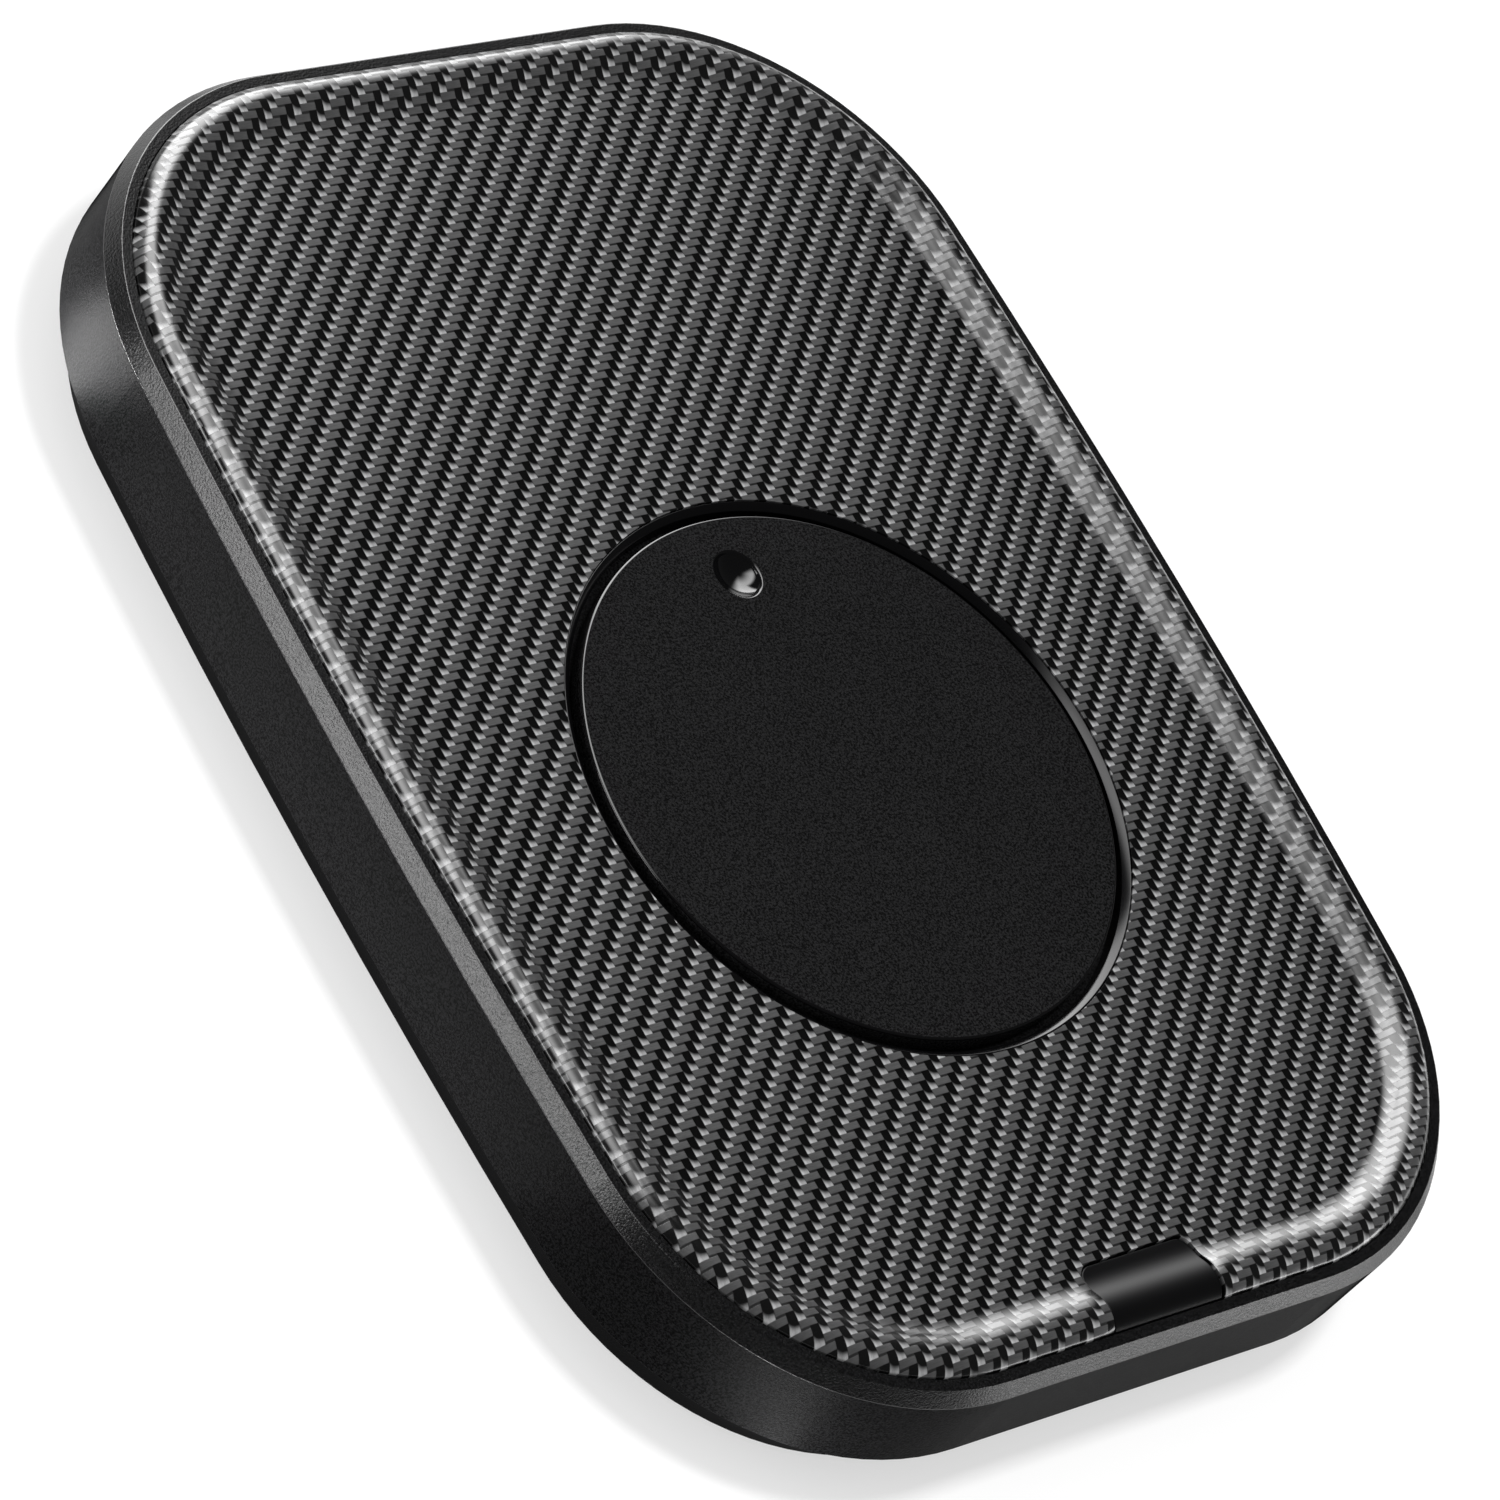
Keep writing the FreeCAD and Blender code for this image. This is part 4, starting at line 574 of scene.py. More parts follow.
FINISHES = {
    FinishName.TWILL: TwillCoat(),
    FinishName.RIM: MouldedPlastic(
        "grained_black_rim", (0.004, 0.004, 0.0042), roughness=0.21, gloss_change=0.02,
        grain_size=0.19 * MM, grain_depth=0.032 * MM, specular=0.45, speck=0.7,
        grazing_share=0.05, grazing_start=0.55, grazing_end=0.80),
    FinishName.LAND: MouldedPlastic(
        "grained_black_land", (0.004, 0.004, 0.0042), roughness=0.20, gloss_change=0.02,
        grain_size=0.19 * MM, grain_depth=0.022 * MM, specular=0.18, speck=0.7,
        grazing_share=0.05, grazing_start=0.55, grazing_end=0.80),
    FinishName.SIDE: MouldedPlastic(
        "satin_black_side", (0.0042, 0.0042, 0.0044), roughness=0.42, gloss_change=0.02,
        grain_size=0.19 * MM, grain_depth=0.032 * MM, specular=0.008, speck=0.7,
        grazing_share=0.0),
    FinishName.BASE: MouldedPlastic(
        "matt_black_base", (0.002, 0.002, 0.0022), roughness=0.5, gloss_change=0.05,
        grain_size=0.20 * MM, grain_depth=0.008 * MM, specular=0.03),
    FinishName.BEZEL: MouldedPlastic(
        "polished_black_ring", (0.002, 0.002, 0.0022), roughness=0.16, gloss_change=0.03,
        grain_size=0.10 * MM, grain_depth=0.001 * MM, specular=0.15),
    FinishName.DISC: MouldedPlastic(
        "grained_black_disc", (0.0085, 0.0085, 0.0088), roughness=0.26, gloss_change=0.02,
        grain_size=0.19 * MM, grain_depth=0.028 * MM, specular=0.02, speck=0.7),
    FinishName.DISC_EDGE: MouldedPlastic(
        "polished_disc_edge", (0.002, 0.002, 0.0022), roughness=0.10, gloss_change=0.02,
        grain_size=0.10 * MM, grain_depth=0.0006 * MM, specular=0.35),
    FinishName.KEY: MouldedPlastic(
        "satin_black_key", (0.003, 0.003, 0.0032), roughness=0.30, gloss_change=0.03,
        grain_size=0.12 * MM, grain_depth=0.003 * MM, specular=0.08),
    FinishName.RUBBER: MouldedPlastic(
        "foot_rubber", (0.020, 0.020, 0.020), roughness=0.75, gloss_change=0.06,
        grain_size=0.25 * MM, grain_depth=0.01 * MM, mottle=0.15),
    FinishName.TAPE: MouldedPlastic(
        "bonding_foam", (0.62, 0.61, 0.58), roughness=0.8, gloss_change=0.04,
        grain_size=0.25 * MM, grain_depth=0.02 * MM),
    FinishName.GEAR: MouldedPlastic(
        "acetal_gears", (0.74, 0.72, 0.65), roughness=0.34, gloss_change=0.04,
        grain_size=0.15 * MM, grain_depth=0.002 * MM, mottle=0.03),
    FinishName.SLIPPERY: MouldedPlastic(
        "slippery_washers", (0.82, 0.82, 0.80), roughness=0.4, gloss_change=0.04,
        grain_size=0.15 * MM, grain_depth=0.002 * MM, mottle=0.03),
    FinishName.STEEL: TurnedMetal("turned_steel", (0.56, 0.56, 0.57)),
    FinishName.PLATED: TurnedMetal(
        "plated_sheet", (0.50, 0.51, 0.53), roughness=0.36, streak=(0.5, 4.0, 0.5)),
    FinishName.BRONZE: TurnedMetal("oiled_bronze", (0.44, 0.28, 0.13), roughness=0.42),
    FinishName.BRASS: TurnedMetal("hobbed_brass", (0.66, 0.47, 0.20), roughness=0.30),
    FinishName.BOARD: CircuitBoard(),
    FinishName.RESIN: MouldedPlastic(
        "chip_resin", (0.016, 0.016, 0.017), roughness=0.55, gloss_change=0.05,
        grain_size=0.06 * MM, grain_depth=0.004 * MM),
    FinishName.CERAMIC: MouldedPlastic(
        "tan_ceramic", (0.30, 0.20, 0.11), roughness=0.5, gloss_change=0.05),
    FinishName.IVORY: MouldedPlastic(
        "ivory_connectors", (0.70, 0.66, 0.54), roughness=0.45, gloss_change=0.05,
        grain_size=0.10 * MM, grain_depth=0.003 * MM, mottle=0.04),
    FinishName.RED: MouldedPlastic(
        "red_plunger", (0.38, 0.02, 0.015), roughness=0.4, gloss_change=0.04),
    FinishName.WIRE: MouldedPlastic(
        "wire_insulation", (0.33, 0.02, 0.015), roughness=0.38, gloss_change=0.04,
        grain_size=0.20 * MM, grain_depth=0.001 * MM),
}


class Finishes:
    """Makes each finish once, when it is first asked for."""

    def __init__(self) -> None:
        """Start with none made."""
        self._made: dict[FinishName, bpy.types.Material] = {}

    def get(self, name: FinishName) -> bpy.types.Material:
        """The material of a finish.

        Args:
            name: Which finish.

        Returns:
            Its material.
        """
        if name not in self._made:
            self._made[name] = FINISHES[name].build()
        return self._made[name]


# ---------------------------------------------------------------------------- mesh helpers
@dataclass(frozen=True)
class TrayOutline:
    """The tray's plan: bowed long sides, straight ends and round corners, all tangent."""

    half_width: float = 43.15 * MM
    half_length: float = 60.4 * MM
    bow_radius: float = 767.0 * MM
    corner_radius: float = 24.6 * MM
    side_steps: int = 48
    corner_steps: int = 40
    end_steps: int = 24

    def ring(self, offset: float) -> list[PlanPoint]:
        """Points round the outline, anticlockwise, moved outwards.

        Args:
            offset: How far they are moved out.

        Returns:
            The points, in the same order for every offset.
        """
        corner_y = self.half_length - self.corner_radius
        bow_x = self.bow_radius - self.half_width
        reach = math.sqrt((self.bow_radius - self.corner_radius) ** 2 - corner_y ** 2)
        corner_x = reach - bow_x
        bow = math.degrees(math.atan2(corner_y, reach))
        corner = self.corner_radius + offset
        half = arc_points((-bow_x, 0.0), self.bow_radius + offset, -bow, bow,
                          self.side_steps)[:-1]
        half += arc_points((corner_x, corner_y), corner, bow, 90, self.corner_steps)[:-1]
        half += [(corner_x * (1 - 2 * step / self.end_steps), self.half_length + offset)
                 for step in range(self.end_steps)]
        half += arc_points((-corner_x, corner_y), corner, 90, 180 - bow,
                           self.corner_steps)[:-1]
        return half + [(-x, -y) for x, y in half]


OUTLINE = TrayOutline()


def add_object(name: str, mesh: bpy.types.Mesh) -> bpy.types.Object:
    """Put a mesh in the scene as an object at the origin.

    Args:
        name: The object's name.
        mesh: Its mesh.

    Returns:
        The object.
    """
    piece = bpy.data.objects.new(name, mesh)
    bpy.context.scene.collection.objects.link(piece)
    return piece


def mesh_from(bm: bmesh.types.BMesh, name: str) -> bpy.types.Object:
    """Turn a bmesh into an object.

    Args:
        bm: The bmesh, which is freed.
        name: The object's name.

    Returns:
        The object.
    """
    mesh = bpy.data.meshes.new(name)
    bm.to_mesh(mesh)
    bm.free()
    return add_object(name, mesh)


def swept_shell(name: str, section: Sequence[Place],
                outline: TrayOutline = OUTLINE) -> bpy.types.Object:
    """A closed solid: a section carried round the outline, with flat caps at its two ends.

    Each point keeps how far inside the outline it lies, and how much of the bead it carries.

    Args:
        name: The object's name.
        section: (inset, height, share) from the inner end on top to the inner end below.
        outline: The outline that it follows.

    Returns:
        The object.
    """
    bm = bmesh.new()
    insets = bm.verts.layers.float.new("inset")
    shares = bm.verts.layers.float.new("share")
    rows = []
    for inset, z, share in section:
        row = [bm.verts.new((x, y, z)) for x, y in outline.ring(-inset)]
        for vertex in row:
            vertex[insets], vertex[shares] = inset, share
        rows.append(row)
    count = len(rows[0])
    for upper, lower in zip(rows, rows[1:]):
        for index in range(count):
            following = (index + 1) % count
            bm.faces.new((upper[index], lower[index], lower[following], upper[following]))
    bm.faces.new(rows[0])
    bm.faces.new(rows[-1][::-1])
    return mesh_from(bm, name)


def lathe(name: str, section: Sequence[SectionPoint], centre: PlanPoint = (0.0, 0.0),
          steps: int = STEPS) -> bpy.types.Object:
    """A closed solid of revolution about a vertical axis.

    Args:
        name: The object's name.
        section: (radius, height) points of a closed section, anticlockwise in that plane. A
            point at radius 0 becomes one point on the axis.
        centre: Where the axis stands.
        steps: How many facets go round.

    Returns:
        The object.
    """
    bm = bmesh.new()
    rows: list[list[bmesh.types.BMVert]] = []
    for radius, z in section:
        if radius < WELD:
            rows.append([bm.verts.new((centre[0], centre[1], z))] * steps)
            continue
        angles = [2 * math.pi * step / steps for step in range(steps)]
        rows.append([bm.verts.new((centre[0] + radius * math.cos(angle),
                                   centre[1] + radius * math.sin(angle), z))
                     for angle in angles])
    for index, first in enumerate(rows):
        second = rows[(index + 1) % len(rows)]
        for step in range(steps):
            following = (step + 1) % steps
            corners = [first[step], first[following], second[following], second[step]]
            distinct = list(dict.fromkeys(corners))
            if len(distinct) > 2:
                bm.faces.new(distinct)
    bmesh.ops.recalc_face_normals(bm, faces=bm.faces)
    return mesh_from(bm, name)


def solid_between(name: str, first: Sequence[Place], last: Sequence[Place]) -> bpy.types.Object:
    """A closed solid between two flat rings with equally many points.

    Args:
        name: The object's name.
        first: The points of one ring.
        last: The points of the other, in the same order.

    Returns:
        The object.
    """
    bm = bmesh.new()
    start, end = ([bm.verts.new(point) for point in ring] for ring in (first, last))
    bm.faces.new(start[::-1])
    bm.faces.new(end)
    for index in range(len(start)):
        following = (index + 1) % len(start)
        bm.faces.new((start[index], start[following], end[following], end[index]))
    bmesh.ops.recalc_face_normals(bm, faces=bm.faces)
    return mesh_from(bm, name)


def prism(name: str, plan: Sequence[PlanPoint], low: float, high: float) -> bpy.types.Object:
    """An upright closed prism.

    Args:
        name: The object's name.
        plan: Its outline.
        low: The height of its base.
        high: The height of its top.

    Returns:
        The object.
    """
    return solid_between(name, [(x, y, low) for x, y in plan], [(x, y, high) for x, y in plan])


def circle(radius: float, centre: PlanPoint, steps: int = STEPS) -> list[PlanPoint]:
    """Points of a circle, anticlockwise.

    Args:
        radius: Its radius.
        centre: Its centre.
        steps: How many points.

    Returns:
        The points.
    """
    return [(centre[0] + radius * math.cos(2 * math.pi * step / steps),
             centre[1] + radius * math.sin(2 * math.pi * step / steps))
            for step in range(steps)]


def arc_points(centre: SectionPoint, radius: float, start: float, end: float,
               steps: int) -> list[SectionPoint]:
    """Points along an arc, both ends included.

    Args:
        centre: Its centre.
        radius: Its radius.
        start: Its first bearing in degrees.
        end: Its last bearing in degrees.
        steps: How many parts it has.

    Returns:
        The points.
    """
    points = []
    for step in range(steps + 1):
        angle = math.radians(start + (end - start) * step / steps)
        points.append((centre[0] + radius * math.cos(angle),
                       centre[1] + radius * math.sin(angle)))
    return points


def rounded(points: Sequence[tuple[float, ...]], steps: int = 6) -> list[SectionPoint]:
    """A polygon with rounded corners.

    Args:
        points: (u, v) or (u, v, radius) corners.
        steps: How many parts each rounding has.

    Returns:
        The polygon's points.
    """
    result: list[SectionPoint] = []
    for index, corner in enumerate(points):
        here = Vector(corner[:2])
        radius = corner[2] if len(corner) > 2 else 0.0
        if radius <= 0.0:
            result.append((here.x, here.y))
            continue
        before = (Vector(points[index - 1][:2]) - here).normalized()
        after = (Vector(points[(index + 1) % len(points)][:2]) - here).normalized()
        half = before.angle(after) / 2
        bisector = (before + after).normalized()
        centre = here + bisector * (radius / math.sin(half))
        first = here + before * (radius / math.tan(half)) - centre
        last = here + after * (radius / math.tan(half)) - centre
        turn = first.angle_signed(last)
        for step in range(steps + 1):
            spoke = first.copy()
            spoke.rotate(Matrix.Rotation(-turn * step / steps, 2))
            result.append((centre.x + spoke.x, centre.y + spoke.y))
    return result


def welded_copy(node: str, name: str) -> bpy.types.Object:
    """A copy of a node of the frame with its loose triangles joined and its shading kept.

    Args:
        node: The node.
        name: The new object's name.

    Returns:
        The object.
    """
    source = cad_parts[node].data
    kept = [Vector(corner.vector) for corner in source.corner_normals]
    bm = bmesh.new()
    bm.from_mesh(source)
    layer = bm.loops.layers.float_vector.new("kept_normal")
    corners = iter(kept)
    for face in bm.faces:
        for loop in face.loops:
            loop[layer] = next(corners)
    bmesh.ops.remove_doubles(bm, verts=bm.verts, dist=WELD)
    normals = [Vector(loop[layer]) for face in bm.faces for loop in face.loops]
    bm.loops.layers.float_vector.remove(layer)
    piece = mesh_from(bm, name)
    piece.data.polygons.foreach_set("use_smooth", [True] * len(piece.data.polygons))
    piece.data.normals_split_custom_set(normals)
    return piece


class Carving(Enum):
    """How solids are combined."""

    CUT = "DIFFERENCE"
    COMMON = "INTERSECT"
    MERGE = "UNION"


def carved(piece: bpy.types.Object, way: Carving,
           tools: Iterable[bpy.types.Object]) -> bpy.types.Object:
    """Apply booleans to a piece and remove the tools.

    Args:
        piece: The piece that is changed.
        way: How it is combined with each of them.
        tools: The solids that it is combined with.

    Returns:
        The piece.
    """
    for tool in tools:
        modifier = piece.modifiers.new("carve", "BOOLEAN")
        modifier.operation = way.value
        modifier.solver = "EXACT"
        modifier.object = tool
        settle(piece)
        bpy.data.objects.remove(tool)
    return piece


def settle(piece: bpy.types.Object) -> bpy.types.Object:
    """Put the result of a piece's modifiers in its mesh and remove them.

    Args:
        piece: The piece.

    Returns:
        The piece.
    """
    depsgraph = bpy.context.evaluated_depsgraph_get()
    depsgraph.update()
    mesh = bpy.data.meshes.new_from_object(piece.evaluated_get(depsgraph))
    piece.modifiers.clear()
    old = piece.data
    piece.data = mesh
    bpy.data.meshes.remove(old)
    return piece


class Recipe(Graph):
    """A Geometry Nodes tree with named sizes, which turns a piece into a finished mesh."""

    def __init__(self, name: str) -> None:
        """Start a tree that takes a mesh and gives one back.

        Args:
            name: The tree's name.
        """
        super().__init__(bpy.data.node_groups.new(name, "GeometryNodeTree"))
        self.values: dict[str, float] = {}
        for way in ("INPUT", "OUTPUT"):
            self.tree.interface.new_socket("Geometry", in_out=way,
                                           socket_type="NodeSocketGeometry")
        self.entry = self.add("NodeGroupInput")

    def size(self, name: str, value: float) -> Socket:
        """Add a named size.

        Args:
            name: Its name.
            value: Its value, in metres or as a plain number.

        Returns:
            Its socket inside the tree.
        """
        socket = self.tree.interface.new_socket(name, in_out="INPUT",
                                                socket_type="NodeSocketFloat")
        self.values[socket.identifier] = value
        return self.entry.outputs[name]

    def field(self, name: str) -> Socket:
        """Read a number that is stored on the piece's points."""
        return self.add("GeometryNodeInputNamedAttribute", {"data_type": "FLOAT"},
                        Name=name).outputs["Attribute"]

    def vector(self, x: Feed, y: Feed, z: Feed) -> Socket:
        """Join three numbers to a vector."""
        return self.add("ShaderNodeCombineXYZ", None, X=x, Y=y, Z=z).outputs[0]

    def run(self, piece: bpy.types.Object, geometry: Socket,
            material: bpy.types.Material) -> bpy.types.Object:
        """End the tree, run it on a piece and keep the result as a plain mesh.

        Args:
            piece: The piece that it starts from.
            geometry: The tree's last geometry.
            material: The finish of the result.

        Returns:
            The piece.
        """
        solid = self.add("GeometryNodeRealizeInstances", None, Geometry=geometry)
        dressed = self.add("GeometryNodeSetMaterial", None, Geometry=solid.outputs[0],
                           Material=material)
        self.add("NodeGroupOutput", None, Geometry=dressed.outputs[0])
        modifier = piece.modifiers.new("recipe", "NODES")
        modifier.node_group = self.tree
        for identifier, value in self.values.items():
            modifier[identifier] = value
        return settle(piece)


def softened(piece: bpy.types.Object, width: float, angle: float = SHARP_ANGLE,
             segments: int = 3) -> bpy.types.Object:
    """Round the sharp edges of a piece.

    Args:
        piece: The piece.
        width: The width of the rounding.
        angle: Edges sharper than this many degrees are rounded.
        segments: How many parts each rounding has.

    Returns:
        The piece.
    """
    modifier = piece.modifiers.new("edge", "BEVEL")
    modifier.width = width
    modifier.segments = segments
    modifier.limit_method = "ANGLE"
    modifier.angle_limit = math.radians(angle)
    modifier.use_clamp_overlap = True
    modifier.harden_normals = False
    return settle(piece)


def smooth(piece: bpy.types.Object, angle: float = SHARP_ANGLE) -> bpy.types.Object:
    """Shade a piece smoothly, apart from its sharp edges.

    Args:
        piece: The piece.
        angle: Edges sharper than this many degrees stay sharp.

    Returns:
        The piece.
    """
    mesh = piece.data
    mesh.polygons.foreach_set("use_smooth", [True] * len(mesh.polygons))
    mesh.set_sharp_from_angle(angle=math.radians(angle))
    modifier = piece.modifiers.new("level", "WEIGHTED_NORMAL")
    modifier.keep_sharp = True
    modifier.weight = 100
    return settle(piece)


def dress(piece: bpy.types.Object, *materials: bpy.types.Material) -> bpy.types.Object:
    """Give a piece its materials.

    Args:
        piece: The piece.
        *materials: One for each of its slots.

    Returns:
        The piece.
    """
    piece.data.materials.clear()
    for material in materials:
        piece.data.materials.append(material)
    return piece


# ---------------------------------------------------------------------------- sub-assemblies
@dataclass
class Assembly:
    """What every sub-assembly shares: its finishes, and how its pieces join the frame."""

    finishes: Finishes

    def join(self, piece: bpy.types.Object, body: str, slot: str, *nodes: str) -> None:
        """Let a piece ride on a body, in place of nodes of the frame.

        Args:
            piece: The piece.
            body: The body that it moves with.
            slot: Not used.
            *nodes: The nodes that it stands for.
        """
        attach(piece, body)
        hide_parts(*nodes)
        LOG.info("built %s on %s, for %s", piece.name, body, ", ".join(nodes))

    def coat(self, finish: FinishName, *nodes: str) -> None:
        """Give nodes of the frame a finish and leave their meshes alone.

        Args:
            finish: The finish.
            *nodes: The nodes.
        """
        material = self.finishes.get(finish)
        for node in nodes:
            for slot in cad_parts[node].material_slots:
                slot.material = material
            LOG.info("finished %s as %s", node, finish.value)


@dataclass
class Bead:
    """The raised bead's profile: a hollow foot, a crown and a tighter outer arc."""

    width: float = 5.2 * MM
    height: float = 1.0 * MM
    crest_inset: float = 1.65 * MM
    edge_step: float = 0.05 * MM
    steps: int = 12

    def top(self, level: float) -> list[SectionPoint]:
        """Its top from the inner foot to the outer edge, as (offset, height).

        Args:
            level: The height of the floor inside the bead.

        Returns:
            The points.
        """
        run = self.width - self.crest_inset
        slope = 2 * math.atan(self.height / run)
        inner = run / (2 * math.sin(slope))
        fall = self.height - self.edge_step
        outer_slope = 2 * math.atan(fall / self.crest_inset)
        outer = self.crest_inset / math.sin(outer_slope)
        foot = (-self.width, level + inner)
        crown = (-self.crest_inset, level + self.height - inner)
        edge = (-self.crest_inset, level + self.height - outer)
        turn, outer_turn = math.degrees(slope), math.degrees(outer_slope)
        points = arc_points(foot, inner, 270, 270 + turn, self.steps)
        points += arc_points(crown, inner, 90 + turn, 90, self.steps)[1:]
        return points + arc_points(edge, outer, 90, 90 - outer_turn, self.steps)[1:]


@dataclass
class BeadRule:
    """The bead's rule as a recipe: each point rises by its distance from the outline."""

    bead: Bead

    def height(self, recipe: Recipe) -> Socket:
        """The bead's height at a point, from its inset.

        Args:
            recipe: The tree that it goes into.

        Returns:
            The height's socket.
        """
        width = recipe.size("Bead Width", self.bead.width)
        top = recipe.size("Bead Height", self.bead.height)
        crest = recipe.size("Crest Inset", self.bead.crest_inset)
        step = recipe.size("Edge Step", self.bead.edge_step)
        inset = recipe.field("inset")
        run = recipe.math("SUBTRACT", width, crest)
        half_slope = recipe.math("ARCTANGENT", recipe.math("DIVIDE", top, run))
        sine = recipe.math("SINE", recipe.math("MULTIPLY", half_slope, 2.0))
        inner = recipe.math("DIVIDE", recipe.math("MULTIPLY", run, 0.5), sine)
        drop = recipe.math("SUBTRACT", top, step)
        half_slope = recipe.math("ARCTANGENT", recipe.math("DIVIDE", drop, crest))
        sine = recipe.math("SINE", recipe.math("MULTIPLY", half_slope, 2.0))
        outer = recipe.math("DIVIDE", crest, sine)
        from_foot = recipe.math("SUBTRACT", width, inset)
        foot = self.sag(recipe, inner, from_foot)
        crown = recipe.math("SUBTRACT", top,
                            self.sag(recipe, inner, recipe.math("SUBTRACT", inset, crest)))
        edge = recipe.math("SUBTRACT", top,
                           self.sag(recipe, outer, recipe.math("SUBTRACT", crest, inset)))
        low_part = recipe.math("LESS_THAN", from_foot, recipe.math("MULTIPLY", run, 0.5))
        inside = recipe.math("GREATER_THAN", inset, crest)
        return recipe.mix(inside, edge, recipe.mix(low_part, crown, foot))

    @staticmethod
    def sag(recipe: Recipe, radius: Feed, along: Feed) -> Socket:
        """How far an arc has left its tangent.

        Args:
            recipe: The tree that it goes into.
            radius: The arc's radius.
            along: The distance along the tangent.

        Returns:
            The sag's socket.
        """
        square = recipe.math("SUBTRACT", recipe.math("MULTIPLY", radius, radius),
                             recipe.math("MULTIPLY", along, along))
        return recipe.math("SUBTRACT", radius, recipe.math("SQRT", square))

    def apply(self, panel: bpy.types.Object,
              material: bpy.types.Material) -> bpy.types.Object:
        """Raise the bead on a flat panel.

        Args:
            panel: The panel, with its insets and shares stored.
            material: Its finish.

        Returns:
            The panel.
        """
        recipe = Recipe("tray_bead_rule")
        rise = recipe.math("MULTIPLY", self.height(recipe), recipe.field("share"))
        raised = recipe.add("GeometryNodeSetPosition", None,
                            Geometry=recipe.entry.outputs["Geometry"],
                            Offset=recipe.vector(0.0, 0.0, rise))
        return recipe.run(panel, raised.outputs[0], material)


@dataclass
class TrayPanel(Assembly):
    """The patterned panel with its bead, the disc's hole and the key's notch."""

    rim: float = RIM
    thickness: float = 0.85 * MM
    land: float = 0.8 * MM
    hole_radius: float = 25.9 * MM
    disc_centre: PlanPoint = DISC_CENTRE
    notch_half: float = 6.12 * MM
    notch_depth: float = 6.02 * MM
    notch_corner: float = 1.42 * MM
    edge_round: float = 0.05 * MM
    land_clearance: float = 0.2 * MM
    tool_reach: float = 2.0 * MM
    sharp_angle: float = 50.0
    corner_steps: int = 10
    bead: Bead = field(default_factory=Bead)

    def section(self) -> list[Place]:
        """The flat panel's section: from the bead's inner foot, round the edge, and back.

        Returns:
            (inset, height, share) points, as for swept_shell.
        """
        under = self.rim - self.thickness
        insets = [-offset for offset, _ in self.bead.top(self.rim)]
        top = [(inset, self.rim, 1.0) for inset in insets]
        below = [(inset, under, 1.0) for inset in insets if inset > self.land + self.land_clearance]
        return top + [(0.0, under, 0.0), (self.land, under, 0.0)] + below[::-1]

    def notch(self) -> list[PlanPoint]:
        """The notch's plan.

        Returns:
            Its points, anticlockwise.
        """
        inner = self.notch_depth - OUTLINE.half_length
        outer = -OUTLINE.half_length - MM
        half, corner = self.notch_half, self.notch_corner
        return rounded([(-half, outer), (half, outer), (half, inner, corner),
                        (-half, inner, corner)], self.corner_steps)

    def build(self) -> None:
        """Make the panel and join it to the frame."""
        twill = self.finishes.get(FinishName.TWILL)
        panel = swept_shell("tray_panel_skin", self.section())
        BeadRule(self.bead).apply(panel, twill)
        low, high = self.rim - self.tool_reach, self.rim + self.tool_reach
        hole = prism("hole", circle(self.hole_radius, self.disc_centre, FINE_STEPS), low, high)
        notch = prism("notch", self.notch(), low, high)
        carved(panel, Carving.CUT, [hole, notch])
        softened(panel, self.edge_round, segments=2)
        smooth(panel, self.sharp_angle)
        dress(panel, twill)
        self.join(panel, "tray", "twill_panel", "tray_panel")
        self.coat(FinishName.TAPE, "panel_tape")


